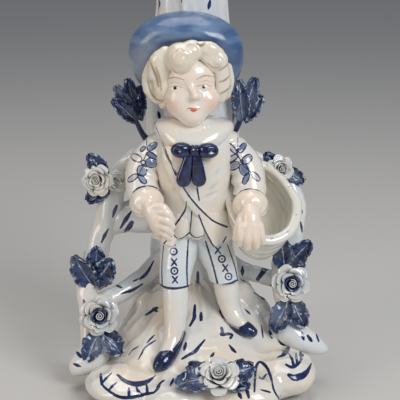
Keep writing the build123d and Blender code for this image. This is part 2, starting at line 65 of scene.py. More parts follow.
# The eye: where the figurine is looked at from, and how wide a view it has at the figurine
EYE_DISTANCE = 450.0
EYE_ELEVATION = math.radians(15.0)
LOOK_HEIGHT_SHARE = 0.424
FIELD_SPAN = 150.0

CELL_CORNERS = list(product((0, 1), repeat=3))
# What a paint layer holds where nothing is painted: far below the edge of any stroke
BARE = -5.0
# A reach beyond the whole figurine
FAR = 1e3


# ------------------------------------------------------------------ places from the frame

def corners(node):
    """Lowest and highest corners of a CAD node."""
    low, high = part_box(node)
    return np.array(low) / MM, np.array(high) / MM


def middle(node):
    """Centre of a CAD node's box."""
    low, high = corners(node)
    return (low + high) / 2


def at(node, x_share, y_share, z_share):
    """A point at shares of a CAD node's box, 0 at the low side and 1 at the high side."""
    low, high = corners(node)
    return low + (high - low) * np.array([x_share, y_share, z_share])


def both(*kinds):
    """The left and right nodes of each kind."""
    return [f"{kind}_{side}" for kind in kinds for side in ("left", "right")]


TOTAL_HEIGHT = cad_box[1][2] / MM
LOOK_AT = np.array([0.0, 0.0, LOOK_HEIGHT_SHARE * TOTAL_HEIGHT])
EYE_UP = np.array([0.0, math.sin(EYE_ELEVATION), math.cos(EYE_ELEVATION)])
EYE_SIDE = np.array([1.0, 0.0, 0.0])
EYE = LOOK_AT + EYE_DISTANCE * np.array([0.0, -math.cos(EYE_ELEVATION), math.sin(EYE_ELEVATION)])


def on_sheet(across, up):
    """A point of the upright sheet that faces the eye through the look-at point."""
    return LOOK_AT + across * EYE_SIDE + up * EYE_UP


def behind_sheet(across, up, depth_y):
    """Where the line from the eye through a sheet point meets the plane y = depth_y."""
    ray = on_sheet(across, up) - EYE
    return EYE + ray * (depth_y - EYE[1]) / ray[1]


# ------------------------------------------------------------------ distance fields

def unit(vector):
    vector = np.asarray(vector, float)
    return vector / np.linalg.norm(vector)


def blend_min(a, b, width):
    """Union of two fields with a rounded seam."""
    share = np.clip(0.5 + 0.5 * (b - a) / width, 0, 1)
    return b * (1 - share) + a * share - width * share * (1 - share)


def blend_max(a, b, width):
    """Intersection of two fields with a rounded edge."""
    return -blend_min(-a, -b, width)


def union(width, *fields):
    total = fields[0]
    for field in fields[1:]:
        total = blend_min(total, field, width)
    return total


def ball(p, centre, radius):
    return np.linalg.norm(p - np.asarray(centre, float), axis=1) - radius


def axes_from(normal, hint=(0, 0, 1)):
    """Rows: side, up and normal of a tilted frame."""
    normal = unit(normal)
    side = unit(np.cross(hint, normal))
    return np.array([side, np.cross(normal, side), normal])


def egg(p, centre, radii, axes=None):
    """Ellipsoid, with its radii along the rows of axes."""
    q = p - np.asarray(centre, float)
    if axes is not None:
        q = q @ np.asarray(axes).T
    radii = np.asarray(radii, float)
    near = np.linalg.norm(q / radii, axis=1)
    slope = np.linalg.norm(q / radii**2, axis=1)
    return near * (near - 1) / np.maximum(slope, 1e-6)


def smooth_line(points, count):
    """Points of a Catmull-Rom curve through the given rows, which may carry extra columns."""
    rows = np.asarray(points, float)
    if len(rows) == 2:
        share = np.linspace(0, 1, count)[:, None]
        return rows[0] * (1 - share) + rows[1] * share
    padded = np.vstack([2 * rows[0] - rows[1], rows, 2 * rows[-1] - rows[-2]])
    place = np.linspace(0, len(rows) - 1, count)
    start = np.minimum(place.astype(int), len(rows) - 2)
    t = (place - start)[:, None]
    a, b, c, d = (padded[start + k] for k in range(4))
    return 0.5 * (2 * b + (c - a) * t + (2 * a - 5 * b + 4 * c - d) * t**2 + (3 * b - a - 3 * c + d) * t**3)


def from_segment(points, start, end):
    """Offsets of points from a segment, and the shares of it where they come nearest."""
    along = end - start
    offset = points - start
    t = np.clip(offset @ along / max(along @ along, 1e-9), 0, 1)
    return offset - t[:, None] * along, t


def tube(p, route, count=14):
    """A round limb through rows of (x, y, z, radius)."""
    line = smooth_line(route, count)
    best = np.full(len(p), FAR)
    for start, end in zip(line[:-1], line[1:]):
        offset, t = from_segment(p, start[:3], end[:3])
        best = np.minimum(best, np.linalg.norm(offset, axis=1) - (start[3] + t * (end[3] - start[3])))
    return best


def stack(p, rows, edge=1.0, power=2.0):
    """Level ovals, rows of (z, x, y, half width, half depth), joined upwards."""
    fine = smooth_line(rows, 60)
    fine = fine[np.argsort(fine[:, 0])]
    x, y, half_x, half_y = (np.interp(p[:, 2], fine[:, 0], fine[:, k]) for k in (1, 2, 3, 4))
    reach = (np.abs((p[:, 0] - x) / half_x) ** power + np.abs((p[:, 1] - y) / half_y) ** power) ** (1 / power)
    wall = (reach - 1) * np.minimum(half_x, half_y)
    ends = np.maximum(rows[0][0] - p[:, 2], p[:, 2] - rows[-1][0])
    return blend_max(wall, ends, edge)


NOISE_SIDE = 32
NOISE_TABLE = DICE.random((NOISE_SIDE,) * 3) * 2 - 1


def noise(p, size, shift=0.0):
    """Smooth lattice noise between -1 and 1 with lumps of about the given size."""
    q = p / np.asarray(size, float) + shift
    cell = np.floor(q).astype(int)
    t = q - cell
    t = t * t * (3 - 2 * t)
    total = np.zeros(len(p))
    for corner in CELL_CORNERS:
        x, y, z = ((cell + corner) % NOISE_SIDE).T
        total += np.where(corner, t, 1 - t).prod(1) * NOISE_TABLE[x, y, z]
    return total


# ------------------------------------------------------------------ fields to meshes

# Fine cells along a coarse cell, and how near the surface a coarse cell is worked out finely
COARSE = 4
NEAR_SURFACE = 1.35


def grid_values(field, low, high, step):
    """The field on a regular grid, worked out finely only near its surface."""
    cells = np.maximum(1, np.ceil((high - low) / (step * COARSE)).astype(int))
    fine_shape = cells * COARSE + 1
    coarse_lines = [low[k] + step * np.arange(0, fine_shape[k], COARSE) for k in range(3)]
    points = np.stack(np.meshgrid(*coarse_lines, indexing="ij"), -1).reshape(-1, 3)
    coarse = field(points).reshape([len(line) for line in coarse_lines])
    nearest = np.full(cells, np.inf)
    for i, j, k in CELL_CORNERS:
        part = coarse[i:i + cells[0], j:j + cells[1], k:k + cells[2]]
        nearest = np.minimum(nearest, np.abs(part))
    active = nearest < NEAR_SURFACE * COARSE * step
    block = active.repeat(COARSE, 0).repeat(COARSE, 1).repeat(COARSE, 2)
    near = np.zeros(fine_shape, bool)
    for i, j, k in CELL_CORNERS:
        near[i:i + block.shape[0], j:j + block.shape[1], k:k + block.shape[2]] |= block
    pick = [np.minimum(np.arange(n) // COARSE, c - 1) for n, c in zip(fine_shape, cells)]
    values = coarse[np.ix_(*pick)]
    where = np.argwhere(near)
    values[near] = field(low + where * step)
    return values


def surface_net(values):
    """Quads on the zero level of a grid, with one point in each crossed cell."""
    cells = np.array(values.shape) - 1
    size = int(np.prod(cells))
    strides = np.array([cells[1] * cells[2], cells[2], 1])
    total = np.zeros((size, 3))
    count = np.zeros(size)
    quads = []
    for axis in range(3):
        u, v = (axis + 1) % 3, (axis + 2) % 3
        head = [slice(None)] * 3
        tail = [slice(None)] * 3
        head[axis], tail[axis] = slice(0, -1), slice(1, None)
        a, b = values[tuple(head)], values[tuple(tail)]
        crossed = (a < 0) != (b < 0)
        spot = np.argwhere(crossed)
        if not len(spot):
            continue
        va, vb = a[crossed], b[crossed]
        place = spot.astype(float)
        place[:, axis] += va / (va - vb)
        for du, dv in product((0, 1), repeat=2):
            cell = spot.copy()
            cell[:, u] -= du
            cell[:, v] -= dv
            inside = ((cell >= 0) & (cell < cells)).all(1)
            index = cell[inside] @ strides
            count += np.bincount(index, minlength=size)
            for k in range(3):
                total[:, k] += np.bincount(index, place[inside, k], minlength=size)
        kept = (spot[:, u] > 0) & (spot[:, v] > 0) & (spot[:, u] < cells[u]) & (spot[:, v] < cells[v])
        corner = spot[kept] @ strides
        beside, below = strides[u], strides[v]
        ring = np.stack([corner, corner - beside, corner - beside - below, corner - below], 1)
        outward = va[kept] < 0
        ring[~outward] = ring[~outward][:, ::-1]
        quads.append(ring)
    used = count > 0
    number = np.full(size, -1)
    number[used] = np.arange(used.sum())
    return total[used] / count[used][:, None], number[np.vstack(quads)]


def slopes(field, points, reach):
    """Gradient of a field at points, by central differences."""
    result = np.empty_like(points)
    for k in range(3):
        shift = np.zeros(3)
        shift[k] = reach
        result[:, k] = (field(points + shift) - field(points - shift)) / (2 * reach)
    return result


class Piece:
    """A finished mesh with what is painted on it."""

    def __init__(self, name, points, faces, normals, hollow):
        self.name = name
        self.points = points
        self.faces = faces
        self.normals = normals
        self.layers = {"hollow": hollow}
        self.tree = None

    def bvh(self):
        if self.tree is None:
            self.tree = BVHTree.FromPolygons(self.points.tolist(), self.faces.tolist())
        return self.tree

    def layer(self, name, start=BARE):
        """The painted layer of this name, made when it is first asked for."""
        if name not in self.layers:
            self.layers[name] = np.full(len(self.points), start)
        return self.layers[name]


PIECES = {}
# No mesh leaves the CAD model's box, less a hair's breadth
BOX_GAP = 0.05
BOX_LOW = np.array(cad_box[0]) / MM + BOX_GAP
BOX_HIGH = np.array(cad_box[1]) / MM - BOX_GAP
# How far into the air a point's hollow is measured
HOLLOW_REACH = 0.9


def sculpt(name, field, step, margin):
    """Meshes a field around the CAD node of the same name and keeps it as a piece."""
    node_low, node_high = corners(name)
    low, high = node_low - margin, node_high + margin
    values = grid_values(field, low, high, step)
    values[[0, -1]] = np.maximum(values[[0, -1]], step)
    values[:, [0, -1]] = np.maximum(values[:, [0, -1]], step)
    values[:, :, [0, -1]] = np.maximum(values[:, :, [0, -1]], step)
    points, faces = surface_net(values)
    points = low + points * step
    slope = slopes(field, points, 0.4 * step)
    steepness = np.maximum((slope**2).sum(1), 0.05)
    shift = -slope * (field(points) / steepness)[:, None]
    length = np.linalg.norm(shift, axis=1)
    shift *= np.minimum(1, 0.45 * step / np.maximum(length, 1e-9))[:, None]
    points = np.clip(points + shift, BOX_LOW, BOX_HIGH)
    normals = slope / np.sqrt(steepness)[:, None]
    # How enclosed each point is; the glazes show it as pooled glaze and painted shade
    hollow = np.clip(1 - field(points + normals * HOLLOW_REACH) / HOLLOW_REACH, -0.5, 1.0)
    PIECES[name] = Piece(name, points, faces, normals, hollow)


def write_mesh(piece, material, nodes):
    """Makes the Blender object of a piece, in metres, riding on the one body."""
    mesh = bpy.data.meshes.new(piece.name + "_mesh")
    mesh.from_pydata((piece.points * MM).tolist(), [], piece.faces.tolist())
    mesh.polygons.foreach_set("use_smooth", np.ones(len(mesh.polygons), bool))
    for layer_name, values in piece.layers.items():
        attribute = mesh.attributes.new(layer_name, "FLOAT", "POINT")
        attribute.data.foreach_set("value", values.astype(np.float32))
    mesh.validate()
    mesh.materials.append(material)
    thing = bpy.data.objects.new(piece.name + "_form", mesh)
    bpy.context.scene.collection.objects.link(thing)
    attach(thing, "root")
    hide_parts(*nodes)


# ------------------------------------------------------------------ the boy's head

HEAD = at("head", 0.5, 0.533, 0.5)
EYES = [(-9.4, 42.0), (1.4, 42.4)]
NOSE_TIP = behind_sheet(-1.9, 38.9, HEAD[1] - 12.1)
NOSE_BRIDGE = behind_sheet(-3.6, 43.6, HEAD[1] - 9.6)
MOUTH = behind_sheet(-2.5, 33.8, HEAD[1] - 10.4)
CHIN = behind_sheet(-3.0, 31.7, HEAD[1] - 7.4)


def head_field(p):
    skull = egg(p, HEAD + [0, 1.0, 2.2], (10.5, 10.4, 11.2))
    brow = egg(p, HEAD + [0.5, -0.9, 4.4], (10.0, 9.6, 8.0))
    jaw = egg(p, HEAD + [0.3, -2.2, -5.0], (9.3, 8.6, 8.0))
    face = blend_min(blend_min(skull, brow, 2.0), jaw, 3.0)
    face = blend_min(face, ball(p, CHIN, 3.9), 3.6)
    for across, up in [(-8.3, 37.2), (3.2, 37.4)]:
        face = blend_min(face, ball(p, behind_sheet(across, up, HEAD[1] - 6.4), 3.5), 3.4)
    for across, up in EYES:
        face = blend_max(face, -egg(p, behind_sheet(across, up + 0.5, HEAD[1] - 12.6), (3.2, 1.6, 1.6)), 2.8)
        face = blend_min(face, egg(p, behind_sheet(across, up - 0.2, HEAD[1] - 7.5), (2.1, 1.7, 1.3)), 1.0)
    bridge = 0.5 * (NOSE_BRIDGE + NOSE_TIP) + [0, 0.2, 0]
    nose = tube(p, [(*NOSE_BRIDGE, 0.7), (*bridge, 1.0), (*NOSE_TIP, 1.3)], 8)
    for side in (-1, 1):
        nose = blend_min(nose, ball(p, NOSE_TIP + [1.15 * side, 1.5, -0.3], 0.75), 0.7)
    face = blend_min(face, nose, 2.0)
    upper_lip = egg(p, MOUTH + [0, 0.0, 0.45], (2.2, 1.0, 0.60))
    lower_lip = egg(p, MOUTH + [0, 0.15, -0.75], (1.6, 1.0, 0.75))
    face = blend_min(face, blend_min(upper_lip, lower_lip, 0.25), 0.8)
    ear = egg(p, behind_sheet(-14.0, 36.6, HEAD[1] - 1.0), (1.6, 1.8, 2.4))
    return blend_min(face, ear, 0.8)


def neck_field(p):
    low = at("jacket", 0.5, 0.5, 1.0)
    foot = (HEAD[0] + 1.0, HEAD[1] + 1.0, low[2] - 4, 5.3)
    waist = (*(HEAD + [0.5, 0.4, -9.0]), 4.9)
    return tube(p, [foot, waist, (*(HEAD + [0.3, 0.4, -6.0]), 5.2)])


# Locks: routes of (across, up, depth from the head's centre, radius)
LOCKS = [
    [(-11.4, 55.0, -6.0, 3.8), (-14.0, 52.0, -5.6, 4.6), (-15.4, 47.2, -4.8, 4.0)],
    [(-16.2, 50.4, -2.6, 3.6), (-17.8, 46.2, -2.0, 3.7), (-17.5, 41.6, -1.6, 3.6), (-15.6, 38.4, -1.0, 2.9)],
    [(-14.8, 45.4, -5.2, 2.7), (-14.3, 41.6, -4.8, 2.7), (-14.4, 39.0, -3.8, 2.0)],
    [(-1.6, 57.0, -7.6, 2.9), (2.4, 57.0, -7.0, 3.4), (5.6, 54.8, -6.2, 3.3)],
    [(1.6, 55.2, -6.6, 3.0), (4.0, 52.4, -6.6, 2.8), (5.6, 49.8, -6.0, 2.4)],
    [(7.6, 50.6, -5.8, 2.8), (8.4, 46.4, -4.9, 2.6), (8.5, 42.0, -4.0, 2.5), (7.5, 38.2, -3.2, 2.2)],
    [(9.0, 49.4, -2.4, 3.0), (9.8, 44.6, -1.6, 3.0), (8.9, 39.6, -0.8, 2.6)],
]
# Round curls: (across, up, depth, radius, turn of the spiral groove)
TEMPLE_CURL = (7.0, 52.6, -6.6, 3.7, 1)
FORELOCK_CURLS = [(-7.2, 53.2, -8.4, 5.8, 1), (-2.8, 55.8, -7.9, 4.2, -1)]


def lock_field(p, rows):
    """A lock of hair made of a few strands side by side."""
    middles = np.array([behind_sheet(across, up, HEAD[1] + depth) for across, up, depth, _ in rows])
    radii = np.array(rows)[:, 3]
    strands = []
    for turn in (0.6, 2.7, 4.8):
        shift = np.array([math.cos(turn), -0.5, math.sin(turn) * 0.3])
        route = np.column_stack([middles + shift * 0.42 * radii[:, None], 0.66 * radii])
        strands.append(tube(p, route, 7))
    return union(0.35, *strands)


def curl_field(p, across, up, depth, radius, turn):
    """A flat round curl with a spiral groove towards the eye."""
    centre = behind_sheet(across, up, HEAD[1] + depth)
    offset = p - centre
    angle = np.arctan2(offset[:, 2], offset[:, 0])
    reach = np.hypot(offset[:, 0], offset[:, 2])
    groove = np.cos(turn * angle + 2 * math.pi * reach / (0.66 * radius))
    fade = np.clip(reach / (0.35 * radius), 0, 1)
    return egg(p, centre, (radius, 0.86 * radius, radius)) + 0.17 * (1 - groove) * fade


def hair_field(p):
    crown = HEAD + [-0.6, 5.9, 3.7]
    mass = egg(p, crown, (13.2, 12.4, 12.4))
    offset = p - crown
    angle = np.arctan2(offset[:, 0], -offset[:, 1])
    mass = mass + 0.24 * np.sin(20 * angle + 2.2 * np.sin(offset[:, 2] / 2.6))
    for rows in LOCKS:
        mass = blend_min(mass, lock_field(p, rows), 0.7)
    return blend_min(mass, curl_field(p, *TEMPLE_CURL), 0.6)


def forelock_field(p):
    return union(1.0, *[curl_field(p, *curl) for curl in FORELOCK_CURLS])


# ------------------------------------------------------------------ the hat

HAT_NORMAL = unit((-0.05, -0.927, -0.375))
HAT_AXES = axes_from(HAT_NORMAL)
HAT_CENTRE = middle("hat_brim") + 2.8 * HAT_AXES[1]
HAT_RADIUS = 21.0
ROLL_RADIUS = 6.9
HAT_FLATTENING = 0.40


def hat_brim_field(p):
    q = (p - HAT_CENTRE) @ HAT_AXES.T
    q[:, 1] *= 1 + HAT_FLATTENING * np.clip(q[:, 1] / HAT_RADIUS, 0, 1)
    reach = np.hypot(q[:, 0], q[:, 1])
    around = np.arctan2(q[:, 1], q[:, 0])
    ring = HAT_RADIUS - ROLL_RADIUS
    depth = 7.6 + 0.4 * np.sin(around + 0.6)
    roll = (np.hypot((reach - ring) / ROLL_RADIUS, q[:, 2] / depth) - 1) * ROLL_RADIUS
    disc = egg(q, (0, 0, -1.5), (HAT_RADIUS - 4, HAT_RADIUS - 4, 5.4))
    cap = blend_min(roll, disc, 4.5)
    return cap + 0.16 * noise(p, (9, 9, 6)) + 0.07 * np.sin(around * 9 + q[:, 2])


def hat_crown_field(p):
    centre = HAT_CENTRE - 5.0 * HAT_NORMAL
    return egg(p, centre, (14.3, 14.3, 8.2), HAT_AXES) + 0.2 * noise(p, 7)


# ------------------------------------------------------------------ torso and dress

def raised(foot, rows):
    """Ovals for stack() whose heights are given from a foot height."""
    return [(foot + z, x, y, half_x, half_y) for z, x, y, half_x, half_y in rows]


TORSO_ROWS = raised(corners("jacket")[0][2], [
    (-2.0, -1.8, -3.0, 12.2, 9.6),
    (6.0, -1.8, -3.0, 11.9, 9.8),
    (15.0, -2.0, -4.0, 13.0, 10.8),
    (24.0, -2.4, -4.4, 14.2, 11.5),
    (31.0, -2.4, -4.0, 14.4, 10.6),
    (36.5, -2.4, -3.6, 11.4, 8.2),
    (40.0, -2.6, -3.6, 6.5, 5.6),
])


def crease(p, start, end, width, depth):
    """A soft groove between two points, to be added to a field."""
    offset, t = from_segment(p, start, end)
    reach = np.linalg.norm(offset, axis=1)
    return depth * np.exp(-((reach / width) ** 2)) * np.sin(math.pi * np.clip(t, 0.04, 0.96)) ** 0.5


def jacket_plain(p):
    return stack(p, TORSO_ROWS, 1.5, 2.15)


# Cloth creases: (across, up) at both ends, seen from the front
JACKET_CREASES = [
    ((2.0, 3.2), (8.4, 6.6)),
    ((0.4, 0.8), (7.6, 2.8)),
    ((3.4, 8.6), (8.8, 12.0)),
    ((-11.5, 6.0), (-8.0, 11.0)),
    ((-10.8, 1.6), (-7.4, 5.4)),
]


def jacket_field(p):
    body = jacket_plain(p)
    for start, end in JACKET_CREASES:
        body = body + crease(p, behind_sheet(*start, -13.6), behind_sheet(*end, -13.2), 0.9, 0.45)
    return body + 0.12 * noise(p, 5)


def waistcoat_field(p):
    left = egg(p, behind_sheet(-7.0, -9.2, -10.6), (3.4, 2.9, 5.8))
    right = egg(p, behind_sheet(-1.0, -9.4, -10.8), (3.6, 2.9, 5.8))
    return union(0.5, left, right)


SKIRT_ROWS = raised(corners("coat_skirt_left")[0][2], [
    (0.2, -1.8, -1.5, 16.6, 12.7),
    (6.5, -1.8, -2.0, 14.8, 11.9),
    (14.5, -1.8, -2.6, 12.6, 10.7),
])


def skirt_field(p, node, side):
    """Flared coat skirt on one side, with a pointed front panel and a slanted front edge."""
    offset = side * (p[:, 0] + 1.8)
    angle = np.arctan2(p[:, 0] + 1.8, -(p[:, 1] + 2))
    below_waist = SKIRT_ROWS[-1][0] - p[:, 2]
    flare = stack(p, SKIRT_ROWS, 1.0) + 0.45 * np.sin(9 * angle) * np.clip(below_waist / 10, 0, 1)
    start, lean, hem_slant = (2.2, 0.42, 0.12) if side < 0 else (-0.4, 0.50, 0.22)
    front_edge = np.where(p[:, 1] < -1, (start + lean * below_waist - offset) * 0.9, -offset)
    hem_drop = np.clip(offset - 5, 0, 30) * hem_slant
    hem = (SKIRT_ROWS[0][0] + 0.4 + hem_drop * (p[:, 1] < 0)) - p[:, 2]
    return blend_max(blend_max(flare, front_edge, 0.9), hem, 0.9)


SASH_START, SASH_END = (-13.6, 19.0), (10.5, -9.5)


def sash_edge(t):
    """Sheet points of the strap's upper edge, which sags a little between its ends."""
    t = np.asarray(t)[:, None]
    line = np.array(SASH_START) * (1 - t) + np.array(SASH_END) * t
    return line + np.array([-0.62, -0.78]) * 3.2 * np.sin(math.pi * t)


def sheet_places(p):
    """Where points are seen on the upright sheet."""
    ray = p - EYE
    forward = unit(LOOK_AT - EYE)
    scale = EYE_DISTANCE / (ray @ forward)
    offset = ray * scale[:, None] - (LOOK_AT - EYE)
    return np.stack([offset @ EYE_SIDE, offset @ EYE_UP], 1)


def line_reach(points, line):
    """Signed distance from sheet points to a sheet line, positive on its upper right."""
    best = np.full(len(points), FAR)
    sign = np.ones(len(points))
    for start, end in zip(line[:-1], line[1:]):
        along = end - start
        offset, _ = from_segment(points, start, end)
        reach = np.linalg.norm(offset, axis=1)
        closer = reach < best
        best = np.where(closer, reach, best)
        side = along[0] * offset[:, 1] - along[1] * offset[:, 0]
        sign = np.where(closer, np.sign(side), sign)
    return best * sign


def sash_field(p):
    places = sheet_places(p)
    reach = line_reach(places, sash_edge(np.linspace(0, 1, 9)))
    width = 3.0 + 2.4 * np.clip((6 - places[:, 1]) / 20, 0, 1)
    band = np.abs(reach + width / 2) - width / 2
    ends = np.maximum(-places[:, 0] - 14.6, places[:, 0] - 11.4)
    front = p[:, 1] + 1.0
    shape = blend_max(jacket_plain(p) - 0.75, blend_max(band, ends, 0.4), 0.7)
    return np.maximum(shape, front)


COLLAR_LOW = corners("collar")[0][2]
COLLAR_ROWS = raised(COLLAR_LOW, [
    (-0.2, -2.6, -4.6, 10.8, 12.4),
    (2.6, -2.4, -4.6, 13.0, 11.7),
    (5.4, -2.3, -4.4, 14.7, 9.9),
    (7.6, -2.4, -4.2, 14.0, 7.9),
    (8.8, -2.6, -4.0, 11.2, 6.6),
    (9.6, -2.8, -4.0, 7.8, 5.6),
])


def collar_field(p):
    cape = stack(p, COLLAR_ROWS, 0.9, 2.3)
    angle = np.arctan2(p[:, 0] + 2.2, -(p[:, 1] + 4.5))
    corner = np.exp(-(((np.abs(angle) - 1.0) / 0.42) ** 2))
    middle_dip = np.exp(-((angle / 0.35) ** 2))
    hem = COLLAR_LOW + 1.4 - 1.5 * corner - 0.9 * middle_dip + 0.35 * np.sin(7 * angle)
    cape = blend_max(cape, hem - p[:, 2], 0.8)
    opening = -tube(p, [(*(HEAD + [0.8, -3.0, -12.5]), 3.4), (*(HEAD + [0.4, -2.0, -8.0]), 6.2)], 6)
    return blend_max(cape, opening, 1.2) + 0.10 * noise(p, 4)


# ------------------------------------------------------------------ arms and hands

# Shoulder, elbow and wrist
SLEEVE_PLACES = {
    "sleeve_left": np.array([(-13.4, -2.5, 94.0), (-20.9, -3.8, 84.0), (-21.2, -8.0, 77.4)]),
    "sleeve_right": np.array([(9.4, -2.5, 94.0), (17.0, -4.0, 84.0), (18.4, -8.2, 77.2)]),
}
# Centre, direction towards the hand, and radius
CUFF_PLACES = {
    "cuff_left": (np.array([-19.4, -12.8, 73.8]), (0.25, -0.74, -0.62), 6.4),
    "cuff_right": (np.array([18.4, -13.4, 73.0]), (0.02, -0.70, -0.71), 6.5),
}


def sleeve_field(p, node, side):
    """Sleeve with soft folds on the side of the elbow that faces the body."""
    top, elbow, wrist = SLEEVE_PLACES[node]
    shoulder = 0.5 * (top + elbow) + [0.2 * side, 0, 0.2]
    line = tube(p, [(*top, 5.0), (*shoulder, 6.3), (*elbow, 6.5), (*wrist, 6.1)])
    fold = 0.32 * np.sin(1.5 * (p[:, 2] - 0.5 * side * p[:, 0]) + noise(p, 6) * 1.6)
    inner = np.clip((side * (elbow[0] - p[:, 0]) + 2.0) / 6.0, 0, 1)
    return line + fold * inner + 0.10 * noise(p, 5)


def cuff_field(p, node, side):
    """Puffed cuff, gathered towards the wrist."""
    centre, along, radius = CUFF_PLACES[node]
    axes = axes_from(along)
    q = (p - centre) @ axes.T
    angle = np.arctan2(q[:, 1], q[:, 0])
    puff = egg(p, centre, (radius, radius, 0.86 * radius), axes)
    gather = 0.28 * np.sin(11 * angle) * np.clip(q[:, 2] / radius, 0, 1)
    return puff + gather + 0.14 * noise(p, 3)


# Palm, thumb and four fingers: rows of (across, up, depth y, radius) from wrist or knuckle to tip
HANDS = {
    "hand_left": [
        [(-18.6, -2.0, -17.2, 3.1), (-17.2, -4.6, -18.4, 3.7), (-16.0, -8.0, -18.4, 3.5),
         (-14.8, -11.2, -17.8, 2.6)],
        [(-17.0, -2.2, -20.0, 1.6), (-14.0, -2.6, -21.2, 1.45), (-12.2, -4.2, -20.6, 1.25)],
        [(-15.4, -4.2, -20.6, 1.7), (-12.4, -4.8, -21.8, 1.6), (-10.5, -7.4, -20.4, 1.4)],
        [(-15.4, -6.8, -20.6, 1.7), (-12.6, -7.6, -21.8, 1.6), (-10.6, -10.0, -20.4, 1.4)],
        [(-15.2, -9.4, -20.0, 1.6), (-12.8, -10.4, -21.2, 1.5), (-10.9, -12.4, -20.0, 1.3)],
        [(-14.8, -11.4, -19.2, 1.5), (-13.0, -12.8, -20.2, 1.4), (-11.5, -14.4, -19.2, 1.2)],
    ],
    "hand_right": [
        [(18.6, -3.8, -18.2, 3.0), (18.9, -6.8, -19.6, 3.8), (19.0, -10.0, -20.2, 3.8),
         (19.2, -13.2, -19.6, 2.6)],
        [(15.8, -6.4, -19.6, 1.7), (14.2, -10.6, -20.8, 1.6), (13.5, -14.2, -20.6, 1.35)],
        [(15.6, -10.0, -21.8, 1.8), (15.2, -13.4, -22.2, 1.7), (15.0, -16.2, -21.0, 1.4)],
        [(17.8, -10.2, -22.2, 1.9), (17.8, -14.2, -22.6, 1.75), (17.9, -17.6, -21.2, 1.45)],
        [(20.2, -10.2, -22.0, 1.9), (20.6, -14.2, -22.4, 1.75), (21.0, -17.2, -21.0, 1.45)],
        [(22.2, -9.8, -21.2, 1.75), (22.9, -13.2, -21.6, 1.6), (23.4, -15.8, -20.4, 1.3)],
    ],
}


def hand_field(p, node, side):
    routes = [[(*behind_sheet(*row[:3]), row[3]) for row in rows] for rows in HANDS[node]]
    palm = tube(p, routes[0], 10)
    thumb, *fingers = (tube(p, route, 8) for route in routes[1:])
    return blend_min(blend_min(palm, union(0.45, *fingers), 0.8), thumb, 0.7)


# ------------------------------------------------------------------ legs

# Routes of (x, y, z, radius): hip to knee, knee to ankle, and heel to toe
LEGS = {
    "breeches_left": [(-6.0, -2.5, 64, 7.4), (-7.6, -4.5, 54, 7.2), (-9.0, -7.5, 46, 6.3),
                      (-9.6, -9.0, 39, 5.7)],
    "breeches_right": [(3.0, -2.0, 64, 7.4), (5.4, -3.4, 54, 7.0), (8.0, -5.2, 47, 6.0),
                       (9.6, -6.4, 39.5, 5.4)],
    "stocking_left": [(-9.4, -8.5, 44, 4.6), (-9.0, -11.0, 35, 4.9), (-9.5, -14.2, 26, 3.9),
                      (-10.2, -16.4, 21.5, 3.5), (-12.0, -20.0, 17.6, 3.3)],
    "stocking_right": [(9.2, -5.5, 45, 4.5), (10.2, -5.0, 37, 4.7), (11.4, -5.6, 31, 3.9),
                       (13.0, -7.0, 27.6, 3.5), (15.4, -9.0, 25.2, 2.9)],
    "shoe_left": [(-7.4, -14.2, 23.4, 2.1), (-10.4, -18.4, 18.6, 3.1), (-13.4, -22.2, 15.6, 3.5),
                  (-15.4, -24.4, 14.4, 2.1)],
    "shoe_right": [(7.2, -3.0, 26.6, 2.6), (11.8, -6.4, 24.4, 3.1), (16.4, -9.4, 23.4, 3.4),
                   (19.6, -11.2, 22.8, 2.1)],
}


def breeches_field(p, node, side):
    """Knee breeches leg with a turned hem and soft folds at the crotch."""
    leg = tube(p, LEGS[node], 12)
    hem = corners(node)[0][2]
    folds = 0.22 * np.sin(1.1 * (p[:, 2] + side * 0.8 * p[:, 0])) * np.clip((p[:, 2] - 50) / 8, 0, 1)
    leg = leg + folds + 0.10 * noise(p, 5)
    return blend_max(leg, hem + 0.3 - p[:, 2], 0.7)


def stocking_field(p, node, side):
    return tube(p, LEGS[node], 14) + 0.05 * noise(p, 4)


def shoe_field(p, node, side):
    return tube(p, LEGS[node], 12)


# ------------------------------------------------------------------ basket

MOUTH_CENTRE = np.array([23.4, -5.0, 71.5])
MOUTH_NORMAL = unit((0.2, -0.73, 0.65))
MOUTH_LEAN = np.array([-0.13, 0.66, 0.73])
MOUTH_UP = unit(MOUTH_LEAN - MOUTH_NORMAL * (MOUTH_LEAN @ MOUTH_NORMAL))
MOUTH_AXES = np.array([MOUTH_UP, np.cross(MOUTH_NORMAL, MOUTH_UP), MOUTH_NORMAL])
MOUTH_LONG, MOUTH_SHORT = 16.6, 13.6
MOUTH_TAPER = 0.42
BASKET_WALL = 2.2


def in_mouth_frame(p):
    """Points in the mouth's own frame, which is squeezed at the upper right."""
    q = (p - MOUTH_CENTRE) @ MOUTH_AXES.T
    squeeze = 1 + MOUTH_TAPER * np.clip(q[:, 0] / MOUTH_LONG, 0, 1)
    q[:, 1] = np.where(q[:, 1] < 0, q[:, 1] * squeeze, q[:, 1])
    return q


def bowl_outline(q, grow):
    """Bowl in the mouth's own frame, whose lower part slips downwards."""
    depth = np.clip(-q[:, 2], -3, 20)
    share = np.sqrt(np.clip(1 - (np.clip(depth, 0, None) / (18.0 + grow)) ** 2.2, 0.02, 1))
    slip = 0.031 * np.clip(depth, 0, None) ** 2
    reach = np.hypot((q[:, 0] + slip) / (MOUTH_LONG + grow), q[:, 1] / (MOUTH_SHORT + grow))
    return (reach - share) * (MOUTH_SHORT + grow) * 0.92


def basket_field(p):
    q = in_mouth_frame(p)
    outer = blend_max(bowl_outline(q, 0.0), -q[:, 2] - 17.4, 2.0)
    inner = blend_max(bowl_outline(q, -BASKET_WALL - 0.6), -q[:, 2] - 15.0, 2.0)
    wall = blend_max(outer, -inner, 0.6)
    weave = 0.13 * np.sin(2 * math.pi * q[:, 2] / 3.4)
    return blend_max(wall + weave, q[:, 2] - 1.0, 0.6)


